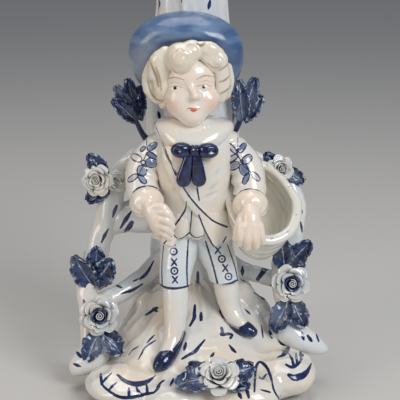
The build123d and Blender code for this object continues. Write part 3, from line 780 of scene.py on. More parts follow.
def basket_rim_field(p):
    q = in_mouth_frame(p)
    around = np.arctan2(q[:, 1] / MOUTH_SHORT, q[:, 0] / MOUTH_LONG)
    foot = np.stack([(MOUTH_LONG - 1.0) * np.cos(around), (MOUTH_SHORT - 1.0) * np.sin(around)], 1)
    reach = np.hypot(q[:, 0] - foot[:, 0], q[:, 1] - foot[:, 1])
    roll = (np.hypot(reach / 2.0, (q[:, 2] - 0.9) / 1.35) - 1) * 1.35
    roll = roll + 0.12 * noise(p, 4)
    for k in range(9):
        turn = 2 * math.pi * (k + 0.35 + 0.2 * math.sin(5 * k)) / 9
        hole = np.array([(MOUTH_LONG - 1.2) * math.cos(turn), (MOUTH_SHORT - 1.2) * math.sin(turn), 2.2])
        roll = blend_max(roll, -(np.linalg.norm(q - hole, axis=1) - 0.42), 0.2)
    return roll


# ------------------------------------------------------------------ bow

def bow_loop_field(p, node, side):
    centre = middle(node) + [-0.5 * side, -0.2, 0]
    loop = egg(p, centre + [0, 0, -0.2], (3.9, 2.9, 3.0))
    offset = p - centre
    pleat = 0.35 * np.cos(2.2 * offset[:, 2]) * np.clip(1 - side * offset[:, 0] / 3.5, 0, 1)
    dimple = egg(p, centre + [side * 1.8, -3.0, 0.3], (1.5, 1.0, 1.0))
    return blend_max(loop + 0.2 * pleat, -dimple, 0.8)


def bow_tail_field(p, node, side):
    top_share, low_share = (0.60, 0.32) if side < 0 else (0.20, 0.34)
    top = at(node, top_share, 0.5, 0.98)
    low = at(node, low_share, 0.5, 0.14)
    route = [(*top, 1.4), (*(0.5 * (top + low)), 2.2), (*low, 2.7)]
    tail = tube(p, route, 8)
    flat = np.abs(p[:, 1] - 0.5 * (top[1] + low[1]) - 0.3) - 1.7
    groove = crease(p, top + [0, -2.2, -2], low + [0, -2.4, 0], 0.6, 0.4)
    return blend_max(tail, flat, 1.2) + groove


def bow_knot_field(p):
    centre = middle("bow_knot") + [0, -0.9, 0]
    return egg(p, centre, (2.3, 2.4, 2.1)) + 0.2 * np.cos(3.2 * (p[:, 0] - centre[0]))


# ------------------------------------------------------------------ base, trunk and branches

FOOT_X, FOOT_Y = 38.5, 40.0
# The cavity under the foot
HOLLOW_ROWS = [(-2, 0, 0, FOOT_X - 7, FOOT_Y - 7), (19, 0, 9, FOOT_X - 16.5, FOOT_Y - 19.5)]
MOUND_ROWS = [
    (0.0, 0, 0, FOOT_X - 1.2, FOOT_Y - 1.2),
    (5.0, 0, 0, FOOT_X + 0.6, FOOT_Y + 0.6),
    (12.0, 0, 4, FOOT_X - 3.0, FOOT_Y - 7.0),
    (20.0, 0, 9, FOOT_X - 8.0, FOOT_Y - 13.0),
    (27.0, -0.5, 14, FOOT_X - 14.0, FOOT_Y - 18.5),
    (36.0, -1.5, 19.5, FOOT_X - 21.0, FOOT_Y - 24.5),
]
# Scroll lobes round the foot: (x, y, height of the middle, radius, half height)
LOBES = [
    (-27.5, -21.0, 6.6, 15.0, 6.8),
    (30.5, -15.0, 8.4, 12.8, 8.6),
    (-9.0, -30.5, 5.6, 11.5, 5.8),
    (17.0, -29.5, 6.4, 12.3, 6.6),
    (-31.0, 13.0, 6.0, 11.5, 6.0),
    (31.0, 14.0, 6.0, 11.5, 6.0),
    (-14.0, 29.5, 5.6, 12.0, 5.8),
    (14.0, 29.5, 5.6, 12.0, 5.8),
]


def mound_field(p):
    body = stack(p, MOUND_ROWS, 3.0)
    for x, y, z, radius, half_height in LOBES:
        body = blend_min(body, egg(p, (x, y, z), (radius, radius, half_height)), 3.0)
    left_fold = tube(p, [(-16, 9, 16, 7.5), (-22.5, 7, 25, 4.6), (-21.0, 6.4, 31.4, 1.4)], 10)
    right_fold = tube(p, [(10, 10, 18, 9.0), (16.0, 9, 29, 5.6), (17.6, 8.4, 34.6, 2.0)], 10)
    right_slope = tube(p, [(17, 8, 30, 4.0), (25, 4, 26, 4.5), (31, -1, 20, 5.0)], 10)
    body = union(2.4, body, left_fold, right_fold, right_slope)
    angle = np.arctan2(p[:, 0] + 1, -(p[:, 1] - 12))
    height = np.clip((p[:, 2] - 8) / 14, 0, 1)
    ridges = 2.4 * np.abs(noise(np.stack([angle * 14, p[:, 2] * 0.22, p[:, 1] * 0.1], 1), 2.6)) - 0.5
    flutes = 0.8 * np.sin(11 * angle + 2.5 * noise(p, 14))
    rock = (ridges + flutes) * height
    chips = np.abs(noise(p, (6, 6, 9), 3.0))
    chipped = 1.3 * chips * np.clip((p[:, 2] - 5) / 8, 0.25, 1)
    body = body + rock + 0.5 * noise(p, 8) + 0.18 * noise(p, 3, 5.0) + chipped - 0.25
    body = blend_max(body, -stack(p, HOLLOW_ROWS, 1.5), 0.8)
    body = blend_max(body, p[:, 1] - BOX_HIGH[1] + 0.3, 2.5)
    body = blend_max(body, BOX_LOW[1] + 0.3 - p[:, 1], 2.5)
    return blend_max(body, BOX_GAP - p[:, 2], 0.5)


TRUNK_TOP = corners("trunk_vase")[1][2]
TRUNK_AXIS = np.array([-3.0, 26.0])
TRUNK_ROWS = [
    (20.0, -2.0, 21.0, 21.0, 15.0),
    (34.0, -3.0, 22.0, 17.6, 14.8),
    (52.0, -3.0, 23.0, 15.9, 14.8),
    (78.0, -3.0, 24.5, 16.7, 14.8),
    (100.0, -3.0, 26.0, 18.3, 14.7),
    (122.0, -3.0, 26.0, 15.7, 13.7),
    (143.0, -3.0, 26.0, 13.5, 12.9),
    (158.0, -3.0, 26.0, 14.4, 13.4),
    (TRUNK_TOP, -3.0, 26.0, 17.0, 15.1),
]
BORE_RADIUS, BORE_BOTTOM = 9.0, 68.0
# Cut-off twigs on the trunk: (height, angle round the axis in degrees, length, radius)
KNOTS = [
    (62, 140, 4.0, 3.4), (88, 60, 4.5, 3.2), (112, 205, 4.0, 3.6), (134, 100, 3.5, 2.8), (146, 330, 3.0, 2.6),
]


def trunk_field(p):
    body = stack(p, TRUNK_ROWS, 1.6)
    angle = np.arctan2(p[:, 1] - TRUNK_AXIS[1], p[:, 0] - TRUNK_AXIS[0])
    twist = angle + 0.012 * p[:, 2]
    around = np.stack([np.cos(twist) * 9, np.sin(twist) * 9, p[:, 2] * 0.16], 1)
    bark = 0.75 * np.abs(noise(around, 2.2)) + 0.45 * np.sin(9 * twist + 2 * noise(p, 18))
    body = body + bark - 0.25
    for height, degrees, length, radius in KNOTS:
        turn = math.radians(degrees)
        out = np.array([math.cos(turn), math.sin(turn), 0.35])
        start = np.array([*TRUNK_AXIS, height]) + out * 9.5
        knot = tube(p, [(*start, radius + 1.5), (*(start + out * (length + 2.5)), radius)], 4)
        ring = np.linalg.norm(p - (start + out * (length + 6.0)), axis=1) - 1.9
        body = blend_min(body, blend_max(knot, -ring, 0.8), 2.2)
    lip = TRUNK_TOP - 0.9 + 0.8 * np.sin(3 * angle + 1) - p[:, 2]
    body = blend_max(body, -lip, 1.2)
    reach = np.hypot(p[:, 0] - TRUNK_AXIS[0], p[:, 1] - TRUNK_AXIS[1])
    flare = 3.6 * np.clip((p[:, 2] - TRUNK_TOP + 9) / 9, 0, 1) ** 2
    bore = np.maximum(reach - BORE_RADIUS - flare, BORE_BOTTOM - p[:, 2])
    return blend_max(body, -bore, 0.8)


# Branch routes: rows of (x, y, z, radius)
BRANCHES = {
    "branch_left_upper": [(-13, 22, 86, 4.4), (-24, 15, 84, 4.0), (-31, 9, 78, 4.2), (-34.5, 7, 66, 4.8),
                          (-38, 5, 55, 4.7), (-41, 3, 45, 4.4)],
    "branch_left_web": [(-11, 17, 66.5, 9.0), (-20, 12, 62.0, 7.6), (-28, 9, 62.0, 6.2), (-35.5, 7, 59, 4.6)],
    "branch_left_lower": [(-40.5, 4, 48, 4.4), (-43, 0, 36, 4.0), (-41.5, -4, 25, 4.3), (-41, -8, 13, 4.6)],
    "branch_left_cross": [(-11, 17, 45, 5.6), (-21, 12, 38, 4.0), (-31, 6, 32, 3.8), (-41, 0, 30, 3.6)],
    "branch_right_upper": [(7, 22, 86, 4.4), (20, 16, 83, 3.7), (30, 12, 79, 3.7), (37, 9, 68, 3.7),
                           (35, 8, 55, 4.3), (31.5, 6, 44, 4.4)],
    "branch_right_lower": [(31.8, 7, 47, 4.2), (31.5, 2, 36, 4.0), (34, -1, 27, 4.3), (37, -3, 17, 4.8)],
    "branch_right_cross": [(5, 18, 43, 5.4), (15, 14, 40, 3.5), (24, 9, 38.5, 3.3), (32, 4, 38, 3.2)],
    "stem_left": [(-15, 17, 87, 2.5), (-20.6, 11, 92.6, 1.3), (-24.0, 8.5, 99.5, 0.9)],
    "stem_right": [(8, 21, 89, 2.5), (13.3, 15.8, 94.6, 1.3), (16.5, 13.5, 101.5, 0.9)],
    "knob_left": [(-37.6, -6.6, 17.0, 5.2), (-41.0, -8.3, 12.0, 6.0), (-45.6, -9.3, 8.6, 4.2),
                  (-47.2, -9.6, 7.2, 2.2)],
    "knob_right": [(33.6, -3.6, 20.0, 5.0), (39.0, -3.9, 17.2, 5.3), (45.2, -3.2, 13.8, 3.2),
                   (48.0, -2.7, 12.5, 1.5)],
}


BARK_DEPTHS = {"branch": 1.0, "knob": 0.45, "stem": 0.35}


def branch_field(p, node):
    """Barky limb: lengthwise ridges and small swellings."""
    bark = 0.40 * noise(p, (3.0, 3.0, 8.0), 2.0) + 0.30 * noise(p, 6, 9.0)
    return tube(p, BRANCHES[node], 22) + bark * BARK_DEPTHS[node.split("_")[0]]


# Each node's field and the grid step that it is meshed with
FIELDS = {
    "base_mound": (mound_field, 0.50),
    "trunk_vase": (trunk_field, 0.50),
    "head": (head_field, 0.22),
    "neck": (neck_field, 0.40),
    "hair": (hair_field, 0.32),
    "forelock": (forelock_field, 0.28),
    "hat_brim": (hat_brim_field, 0.42),
    "hat_crown": (hat_crown_field, 0.50),
    "jacket": (jacket_field, 0.30),
    "waistcoat": (waistcoat_field, 0.30),
    "sash": (sash_field, 0.32),
    "collar": (collar_field, 0.34),
    "basket": (basket_field, 0.42),
    "basket_rim": (basket_rim_field, 0.30),
    "bow_knot": (bow_knot_field, 0.24),
}
# The same for kinds of node with a left and a right one; side is -1 on the left
PAIRED_FIELDS = {
    "coat_skirt": (skirt_field, 0.34),
    "sleeve": (sleeve_field, 0.28),
    "cuff": (cuff_field, 0.32),
    "hand": (hand_field, 0.26),
    "breeches": (breeches_field, 0.28),
    "stocking": (stocking_field, 0.36),
    "shoe": (shoe_field, 0.32),
    "bow_loop": (bow_loop_field, 0.24),
    "bow_tail": (bow_tail_field, 0.24),
}
for kind, (pair_field, pair_step) in PAIRED_FIELDS.items():
    for pair_node, pair_side in zip(both(kind), (-1, 1)):
        FIELDS[pair_node] = (partial(pair_field, node=pair_node, side=pair_side), pair_step)
for limb_name in BRANCHES:
    FIELDS[limb_name] = (partial(branch_field, node=limb_name), 0.40)

# How far past its CAD node a piece is looked for, with wider reaches where the form needs them
MARGIN = 2.5
WIDE_MARGINS = {"hand_left": 5.0, "hand_right": 5.0, "forelock": 6.0, "waistcoat": 4.5, "hair": 4.0}
for piece_name, (piece_field, piece_step) in FIELDS.items():
    sculpt(piece_name, piece_field, piece_step, WIDE_MARGINS.get(piece_name, MARGIN))


# ------------------------------------------------------------------ petals and leaves

def sheet_mesh(front, thickness, rows, columns):
    """A closed thin sheet from a grid of front points; returns points, faces and normals."""
    grid = front.reshape(rows, columns, 3)
    down = np.gradient(grid, axis=0)
    side = np.gradient(grid, axis=1)
    normal = np.cross(side, down).reshape(-1, 3)
    normal /= np.maximum(np.linalg.norm(normal, axis=1), 1e-9)[:, None]
    back = front - normal * thickness.reshape(-1, 1)
    count = rows * columns
    index = np.arange(count).reshape(rows, columns)
    quads = np.stack([index[:-1, :-1], index[1:, :-1], index[1:, 1:], index[:-1, 1:]], -1).reshape(-1, 4)
    faces = [quads[:, ::-1], quads + count]
    border = np.concatenate([index[0, :], index[1:, -1], index[-1, -2::-1], index[-2:0:-1, 0]])
    after = np.roll(border, -1)
    faces.append(np.stack([border, after, after + count, border + count], 1))
    return np.vstack([front, back]), np.vstack(faces), np.vstack([normal, -normal])


def join_sheets(name, sheets, layers):
    """One piece from several (points, faces, normals) sheets and their painted layers."""
    points, faces, normals, start = [], [], [], 0
    for sheet_points, sheet_faces, sheet_normals in sheets:
        points.append(sheet_points)
        faces.append(sheet_faces + start)
        normals.append(sheet_normals)
        start += len(sheet_points)
    points = np.clip(np.vstack(points), BOX_LOW, BOX_HIGH)
    piece = Piece(name, points, np.vstack(faces), np.vstack(normals), np.zeros(start))
    for layer_name, parts in layers.items():
        piece.layers[layer_name] = np.concatenate(parts)
    PIECES[name] = piece


PETAL_ROWS, PETAL_COLUMNS = 15, 21
# Rings of petals: (count, base reach, edge reach, base height, edge height, half angle, curl)
PETAL_RINGS = [
    (3, 0.20, 0.40, -0.25, 0.60, 1.25, 0.02),
    (4, 0.30, 0.60, -0.30, 0.50, 0.98, 0.07),
    (5, 0.36, 0.82, -0.36, 0.36, 0.80, 0.13),
    (6, 0.40, 1.00, -0.40, 0.16, 0.66, 0.20),
]


def rose_piece(name, centre, facing, radius, dark):
    """A hand-rolled rose: a coiled heart inside rings of cupped, curling petals."""
    axes = axes_from(facing)
    sheets = []
    layers = {"hollow": [], "wash": [], "ink": []}

    def add_sheet(reach, angle, rise, thickness, **paint):
        """One sheet in the rose's own frame, in shares of its radius, painted alike on both faces."""
        local = np.stack([reach * np.cos(angle), reach * np.sin(angle), rise], -1).reshape(-1, 3) * radius
        thick = np.broadcast_to(thickness * radius, reach.shape).reshape(-1)
        sheets.append(sheet_mesh(local @ axes + centre, thick, *reach.shape))
        for layer_name, values in paint.items():
            layers[layer_name].append(np.tile(np.broadcast_to(values, reach.shape).reshape(-1), 2))

    # The coiled heart
    spin, lift = np.meshgrid(np.linspace(0, 1, 64), np.linspace(0, 1, 7))
    reach = (0.05 + 0.30 * spin) * (1 - 0.22 * lift**2)
    rise = -0.3 + (0.98 - 0.14 * spin) * lift
    # The hollow layer is strongest low in the coil: pooled glaze and painted shade in the heart
    add_sheet(reach, spin * 4.6 * math.pi, rise, 0.055,
              hollow=(1 - lift) * 0.9 + 0.1, wash=dark * (1.15 - lift), ink=dark * (1.0 - lift) - 0.10)

    side, length = np.meshgrid(np.linspace(-1, 1, PETAL_COLUMNS), np.linspace(0, 1, PETAL_ROWS))
    outline = np.sqrt(np.clip(1 - (np.abs(side) ** 2.6) * length**1.4 * 0.62, 0, 1))
    reached = length * outline
    for ring, (count, base, edge, low, high, half, curl) in enumerate(PETAL_RINGS):
        start = DICE.uniform(0, 2 * math.pi)
        for k in range(count):
            lean = DICE.uniform(-0.05, 0.05)
            middle_angle = start + 2 * math.pi * (k + DICE.uniform(-0.12, 0.12)) / count
            angle = middle_angle + half * side * (0.55 + 0.45 * np.sqrt(reached))
            ripple = 0.025 * np.sin(5 * side + k) * reached**2
            reach = base + (edge - base) * reached**1.25 + ripple + 0.03 * side
            reach = reach + curl * np.clip(reached - 0.78, 0, 1) * 2.2
            rise = low + (high + lean - low) * np.sin(reached * math.pi / 2) ** 1.1
            rise = rise - curl * np.clip(reached - 0.80, 0, 1) ** 1.2 * 5.0
            # The hollow layer grows towards each petal's base: pooled glaze and painted shade deep in the
            # rose
            add_sheet(reach, angle, rise, 0.075 * (1 - 0.45 * reached),
                      hollow=np.clip(1.0 - reached * 1.25, -0.3, 1),
                      wash=dark * (0.85 - 0.14 * ring) * np.clip(1.15 - reached, 0, 1),
                      ink=(dark * (1.15 - 0.38 * ring) - reached) * 0.5 - 0.05)

    # The cup underneath, which closes the back
    turn, drop = np.meshgrid(np.linspace(0, 2 * math.pi, 25), np.linspace(0, 1, 6))
    reach = 0.46 * np.cos(drop * math.pi / 2) + 0.02
    # Half hollow on the cup: pooled glaze and painted shade under the rose
    add_sheet(reach, turn, -0.28 - 0.20 * np.sin(drop * math.pi / 2), -0.05, hollow=0.5, wash=0.0, ink=-1.0)
    join_sheets(name, sheets, layers)


LEAF_ROWS, LEAF_COLUMNS = 44, 25
LEAF_THICKNESS = 1.05
# How far each leaf of a cluster lies behind the one before, and its teeth and side veins along one edge
LEAF_STEP_BACK = 0.9
LEAF_TEETH = 6.0


def leaf_piece(name, leaves):
    """Pressed leaves with notched edges and raised veins: (base, tip, facing, width) rows."""
    sheets = []
    layers = {"vein": [], "border": []}
    side, length = np.meshgrid(np.linspace(-1, 1, LEAF_COLUMNS), np.linspace(0, 1, LEAF_ROWS))
    notches = np.abs(((length * LEAF_TEETH + 0.25 * np.abs(side)) % 1.0) - 0.5) * 2
    slant = length - 0.34 * np.abs(side)
    ribs = np.cos(2 * math.pi * slant * LEAF_TEETH) ** 9
    ribs = np.clip(ribs, 0, 1) * np.clip(1.15 - np.abs(side), 0, 1) * (length > 0.04)
    midrib = np.exp(-((side / 0.11) ** 2))
    veins = np.clip(np.maximum(midrib, ribs * 0.9), 0, 1).reshape(-1)
    border = np.clip((np.abs(side) - 0.80) / 0.2, 0, 1).reshape(-1)
    for order, (base, tip, facing, width) in enumerate(leaves):
        base, tip = (np.add(end, (0, LEAF_STEP_BACK * order, 0)) for end in (base, tip))
        reach = np.linalg.norm(tip - base)
        axis = (tip - base) / reach
        normal = unit(facing - axis * (facing @ axis))
        sideways = np.cross(axis, normal)
        half = 0.5 * width * np.sin(math.pi * np.clip(length * 0.97 + 0.03, 0, 1) ** 0.86) ** 0.72
        half = half * (1 - 0.15 * notches * np.clip(length * 8, 0, 1) * np.clip((1 - length) * 6, 0.25, 1))
        half = np.maximum(half, 0.12 * width * (1 - length) + 0.04 * width)
        bend = DICE.uniform(0.10, 0.18) * reach
        lift = bend * np.sin(math.pi * length) - 0.05 * reach * length**2
        cup = 0.16 * width * side**2
        wave = 0.05 * width * np.sin(4.5 * math.pi * length + 2.0 * np.sign(side)) * np.abs(side)
        out = lift * 0.5 + cup + wave + 0.30 * midrib + 0.20 * ribs
        points = base + (length * reach)[..., None] * axis + (side * half)[..., None] * sideways
        points = (points + out[..., None] * normal).reshape(-1, 3)
        sheets.append(sheet_mesh(points, np.full(len(points), LEAF_THICKNESS), LEAF_ROWS, LEAF_COLUMNS))
        layers["vein"].append(np.concatenate([veins, veins * 0.2]))
        layers["border"].append(np.tile(border, 2))
    join_sheets(name, sheets, layers)


# Roses: (node, radius, facing, darkness of the wash at the heart)
ROSES = [
    ("rose_left_upper", 5.6, (-0.25, -1.0, 0.15), 0.35),
    ("bud_left", 3.9, (0.2, -1.0, 0.1), 0.25),
    ("rose_left_lower", 6.9, (0.05, -1.0, 0.30), 1.0),
    ("rose_right_upper", 5.0, (0.3, -1.0, 0.25), 0.7),
    ("rose_right_lower", 6.7, (0.1, -1.0, 0.30), 1.0),
    ("rose_front", 7.1, (-0.05, -0.62, 0.8), 0.30),
]
# Where a rose's centre lies off the middle of its CAD node
ROSE_SHIFTS = {
    "rose_front": (-1.2, -0.2, -0.3),
    "rose_right_upper": (-1.2, 0.6, -0.2),
    "rose_right_lower": (-0.2, 0.0, 1.5),
    "rose_left_lower": (0.9, 0.0, 1.2),
}
for rose_name, rose_radius, rose_facing, rose_dark in ROSES:
    rose_centre = middle(rose_name) + ROSE_SHIFTS.get(rose_name, (0, 0, 0))
    rose_piece(rose_name, rose_centre, rose_facing, rose_radius, rose_dark)

# Leaf clusters: rows of (base, tip, facing, width)
LEAVES = {
    "leaf_spray_left": [
        ((-23.8, 7.6, 100.0), (-32.4, 6.6, 108.2), (0.1, -1, 0.2), 5.0),
        ((-23.8, 7.8, 100.4), (-31.4, 6.8, 113.0), (0.1, -1, 0.2), 5.4),
        ((-23.6, 8.0, 100.4), (-27.0, 7.4, 115.4), (0.1, -1, 0.2), 5.4),
        ((-23.4, 8.4, 99.6), (-22.4, 8.0, 112.4), (0.1, -1, 0.2), 5.0),
    ],
    "leaf_spray_right": [
        ((16.2, 13.0, 99.0), (14.6, 13.2, 114.4), (-0.1, -1, 0.2), 6.4),
        ((16.4, 12.6, 99.4), (20.8, 12.8, 115.2), (-0.1, -1, 0.2), 6.8),
        ((16.2, 12.8, 99.0), (23.6, 13.0, 108.0), (-0.1, -1, 0.2), 6.2),
    ],
    "leaves_left_upper": [
        ((-36.0, 4.0, 80.0), (-41.4, 2.4, 88.0), (0.1, -1, 0.2), 6.2),
        ((-34.5, 4.0, 76.0), (-42.4, 2.6, 69.8), (-0.1, -1, 0.2), 6.4),
    ],
    "leaves_left_middle": [
        ((-40.4, -2.4, 38.0), (-47.2, -4.0, 50.4), (-0.3, -1, 0.2), 9.4),
        ((-40.0, -2.4, 38.5), (-33.4, -4.4, 48.8), (0.2, -1, 0.3), 9.4),
        ((-39.6, -4.4, 43.0), (-38.8, -4.0, 53.2), (0.0, -1, 0.3), 7.2),
    ],
    "leaves_left_lower": [
        ((-38.0, -11.4, 22.4), (-42.4, -14.0, 12.6), (-0.2, -1, 0.5), 8.2),
        ((-37.0, -11.4, 22.0), (-29.6, -13.6, 14.6), (0.3, -1, 0.5), 8.2),
    ],
    "leaves_right_upper": [
        ((29.0, 8.0, 81.0), (25.0, 6.8, 87.6), (-0.2, -1, 0.3), 5.2),
        ((33.0, 8.0, 80.0), (39.2, 7.0, 76.4), (0.3, -1, 0.2), 5.4),
    ],
    "leaves_right_middle": [
        ((32.2, -0.4, 44.6), (30.4, -2.0, 57.0), (0.0, -1, 0.3), 7.8),
        ((32.0, -0.4, 45.0), (41.6, -1.8, 55.2), (0.3, -1, 0.3), 8.2),
        ((32.0, -0.4, 44.6), (39.6, -2.2, 46.8), (0.3, -1, 0.2), 6.6),
    ],
    "leaves_right_lower": [
        ((33.4, -6.0, 33.0), (28.0, -8.6, 22.0), (-0.3, -1, 0.3), 8.2),
        ((34.4, -6.0, 33.0), (39.6, -8.4, 23.6), (0.3, -1, 0.3), 7.6),
    ],
    "leaves_front_left": [
        ((5.0, -35.4, 14.0), (-8.6, -37.4, 12.6), (-0.1, -0.6, 1), 10.2),
        ((5.0, -34.6, 14.4), (-4.4, -31.0, 17.0), (-0.1, -0.6, 1), 7.0),
    ],
    "leaves_front_right": [
        ((9.4, -35.2, 14.2), (19.4, -32.4, 17.8), (0.1, -0.7, 1), 9.2),
        ((9.6, -35.6, 13.4), (17.2, -39.0, 12.2), (0.1, -0.7, 1), 7.2),
    ],
}
for cluster_name, cluster in LEAVES.items():
    leaf_piece(cluster_name, cluster)


# ------------------------------------------------------------------ brushwork

def first_hit(pieces, across, up):
    """Nearest place on the given pieces along the line from the eye through a sheet point."""
    ray = Vector(unit(on_sheet(across, up) - EYE))
    best = None
    for piece in pieces:
        place, normal, _, reach = piece.bvh().ray_cast(Vector(EYE), ray)
        if place is not None and (best is None or reach < best[0]):
            best = (reach, np.array(place), -np.array(normal) if normal.dot(ray) > 0 else np.array(normal))
    return best


# How far from a stroke's line its paint is worked out, and the longest jump along that line
PAINT_REACH = 1.6
LONGEST_JUMP = 2.0


def mark(pieces, places, normals, half_widths, layer):
    """Keeps half width minus reach from a brushed line on the vertices near it."""
    low, high = places.min(0) - PAINT_REACH, places.max(0) + PAINT_REACH
    for piece in pieces:
        values = piece.layer(layer)
        picked = np.flatnonzero(((piece.points > low) & (piece.points < high)).all(1))
        if not len(picked):
            continue
        points, facing = piece.points[picked], piece.normals[picked]
        best = values[picked]
        for k in range(len(places) - 1):
            if np.linalg.norm(places[k + 1] - places[k]) > LONGEST_JUMP:
                continue
            offset, t = from_segment(points, places[k], places[k + 1])
            reach = np.linalg.norm(offset, axis=1)
            half = half_widths[k] * (1 - t) + half_widths[k + 1] * t
            open_side = facing @ normals[k] > 0.0
            best = np.where(open_side & (reach < PAINT_REACH), np.maximum(best, half - reach), best)
        values[picked] = best


# Steps along a painted line and a bark stroke, and the tries that a bark stroke has to find its place
BRUSH_STEP = 0.4
BARK_STEP = 0.5
BARK_TRIES = 30


def brush(names, widths, route, layer="ink", wobble=0.12):
    """A tapering stroke through sheet points, laid on the named pieces."""
    route = np.asarray(route, float)
    length = np.linalg.norm(np.diff(route, axis=0), axis=1).sum()
    count = max(4, int(length / BRUSH_STEP))
    line = smooth_line(route, count)
    share = np.linspace(0, 1, count)
    half = np.interp(share, np.linspace(0, 1, len(widths)), widths)
    half = half * (1 + wobble * np.interp(share, np.linspace(0, 1, 5), DICE.uniform(-1, 1, 5)))
    pieces = [PIECES[name] for name in names]
    hits = [first_hit(pieces, *point) for point in line]
    kept = [k for k, hit in enumerate(hits) if hit is not None]
    if len(kept) < 2:
        return
    places = np.array([hits[k][1] for k in kept])
    normals = np.array([hits[k][2] for k in kept])
    mark(pieces, places, normals, half[kept], layer)


def spot(names, centre, radius, layer="ink"):
    brush(names, (radius, radius), [centre, (centre[0] + 0.06, centre[1])], layer, 0.0)


def ring_route(centre, radius, count=13):
    turn = np.linspace(0, 2 * math.pi, count)
    return [(centre[0] + radius * math.cos(t), centre[1] + radius * math.sin(t)) for t in turn]


OUTLINE_WIDTHS = (0.20, 0.28, 0.20, 0.28, 0.20)


def petal_mark(names, base, tip, width, fill):
    """An outlined leaf or petal with a thin wash inside."""
    base, tip = np.asarray(base, float), np.asarray(tip, float)
    axis = tip - base
    sideways = np.array([-axis[1], axis[0]]) / np.linalg.norm(axis)
    turn = np.linspace(0, 2 * math.pi, 17)
    share = (1 - np.cos(turn)) / 2
    profile = np.sign(np.sin(turn)) * np.abs(np.sin(turn)) ** 0.8 * width / 2
    outline = base + share[:, None] * axis + profile[:, None] * sideways
    brush(names, OUTLINE_WIDTHS, outline)
    for name in names:
        piece = PIECES[name]
        seen = sheet_places(piece.points) - base
        t = seen @ axis / (axis @ axis)
        s = np.abs(seen @ sideways) / (width / 2)
        inside = np.clip((np.sqrt(np.clip(4 * t * (1 - t), 0, 1)) - s) * 3, 0, 1)
        facing = piece.normals @ unit(EYE - piece.points.mean(0)) > 0.05
        wash = piece.layer("wash", 0.0)
        np.maximum(wash, np.where(facing, np.clip(1.35 * inside * fill, 0, 1), 0), out=wash)


def bark_strokes(name, count, lengths, widths, allowed, along=(0, 0, 1)):
    """Scattered strokes that follow the surface, where allowed(point, normal) holds."""
    piece = PIECES[name]
    made = 0
    for _ in range(count * BARK_TRIES):
        if made == count:
            return
        k = DICE.integers(len(piece.points))
        place, normal = piece.points[k], piece.normals[k]
        if not allowed(place, normal):
            continue
        made += 1
        heading = unit(np.asarray(along, float) + DICE.normal(0, 0.28, 3))
        length = DICE.uniform(*lengths)
        steps = max(4, int(length / BARK_STEP))
        places, normals = [], []
        for _ in range(steps):
            hit, hit_normal, _, _ = piece.bvh().find_nearest(Vector(place))
            if hit is None:
                break
            hit_normal = np.array(hit_normal)
            hit_normal = hit_normal if hit_normal @ normal > 0 else -hit_normal
            places.append(np.array(hit))
            normals.append(hit_normal)
            tangent = unit(heading - hit_normal * (heading @ hit_normal))
            place = np.array(hit) + tangent * BARK_STEP
            normal = hit_normal
        if len(places) > 1:
            half = DICE.uniform(*widths) * np.sin(np.linspace(0.35, math.pi - 0.35, len(places)))
            mark([piece], np.array(places), np.array(normals), half, "ink")


# The lists from here to RINGS, but for one row of TREE_LINES, were printed by a scratch program. It scaled
# positions that were read off the photo by eye, in pixels, to millimetres. This is a fault.
# Brushed lines: (half widths from start to end, sheet points (across, up))
COAT_LINES = [
    ((0.34, 0.39, 0.31), [(-12.9, 18.8), (-11.1, 14.1), (-9.1, 9.4)]),
    ((0.31, 0.36, 0.39), [(-6.5, 5.1), (-3.8, 1.1), (-0.8, -2.5), (1.9, -5.2), (4.5, -7.5),
                          (7.1, -8.9), (10.1, -10.1)]),
    ((0.29, 0.39, 0.29), [(-1.1, 4.9), (-0.8, 2.7), (-0.3, -0.2)]),
    ((0.26, 0.34, 0.31), [(-0.5, -5.6), (1.7, -11.1), (4.5, -16.4), (5.6, -17.6), (6.7, -18.0)]),
    ((0.31, 0.34, 0.29), [(6.7, -18.0), (8.3, -16.4), (9.8, -13.8)]),
    ((0.21, 0.34, 0.31), [(-5.1, -0.6), (-5.5, -3.5), (-7.5, -6.8), (-9.8, -10.2)]),
    ((0.31, 0.29, 0.29), [(-9.8, -10.2), (-10.1, -11.6), (-9.6, -13.3), (-7.9, -14.6), (-6.0, -13.9),
                          (-3.9, -12.2)]),
    ((0.29, 0.26, 0.18), [(-3.9, -12.2), (-3.0, -13.3), (-1.2, -14.1), (1.7, -13.3)]),
    ((0.26, 0.31, 0.29), [(-3.1, -4.1), (-3.3, -7.5), (-3.8, -12.2)]),
    ((0.26, 0.34, 0.26), [(-12.2, -14.6), (-14.6, -17.9)]),
    ((0.29, 0.39, 0.21), [(-21.7, -6.1), (-19.9, -8.4), (-18.1, -11.4)]),
    ((0.13, 0.18, 0.16), [(-18.0, -14.3), (-14.6, -17.9)]),
    ((0.1, 0.17, 0.13), [(-17.2, 30.0), (-15.8, 25.5), (-12.9, 18.8)]),
]
CUFF_LINES = [
    ((0.26, 0.42, 0.26), [(-25.3, 0.6), (-25.0, 2.7), (-23.6, 4.2), (-20.8, 5.1), (-17.8, 5.1),
                          (-16.0, 4.3)]),
    ((0.26, 0.42, 0.26), [(13.7, 0.3), (14.2, 1.8), (16.0, 3.4), (18.4, 3.9), (21.3, 3.6),
                          (23.8, 2.2)]),
]
BREECHES_LINES = [
    ((0.26, 0.36, 0.36), [(-13.7, -17.2), (-14.3, -24.7), (-14.2, -32.2)]),
    ((0.26, 0.36, 0.36), [(-4.4, -14.9), (-4.9, -24.7), (-4.7, -32.3)]),
    ((0.26, 0.42, 0.31), [(-15.9, -29.1), (-15.2, -31.1), (-13.9, -32.4), (-10.5, -33.2),
                          (-7.1, -32.9), (-4.7, -32.3), (-2.3, -31.5)]),
    ((0.26, 0.36, 0.36), [(10.3, -16.8), (13.0, -24.7), (14.3, -30.4)]),
    ((0.26, 0.36, 0.36), [(2.1, -15.5), (4.9, -24.7), (6.8, -32.4)]),
    ((0.26, 0.42, 0.31), [(3.7, -31.0), (6.7, -31.6), (10.7, -31.5), (14.2, -29.9)]),
]
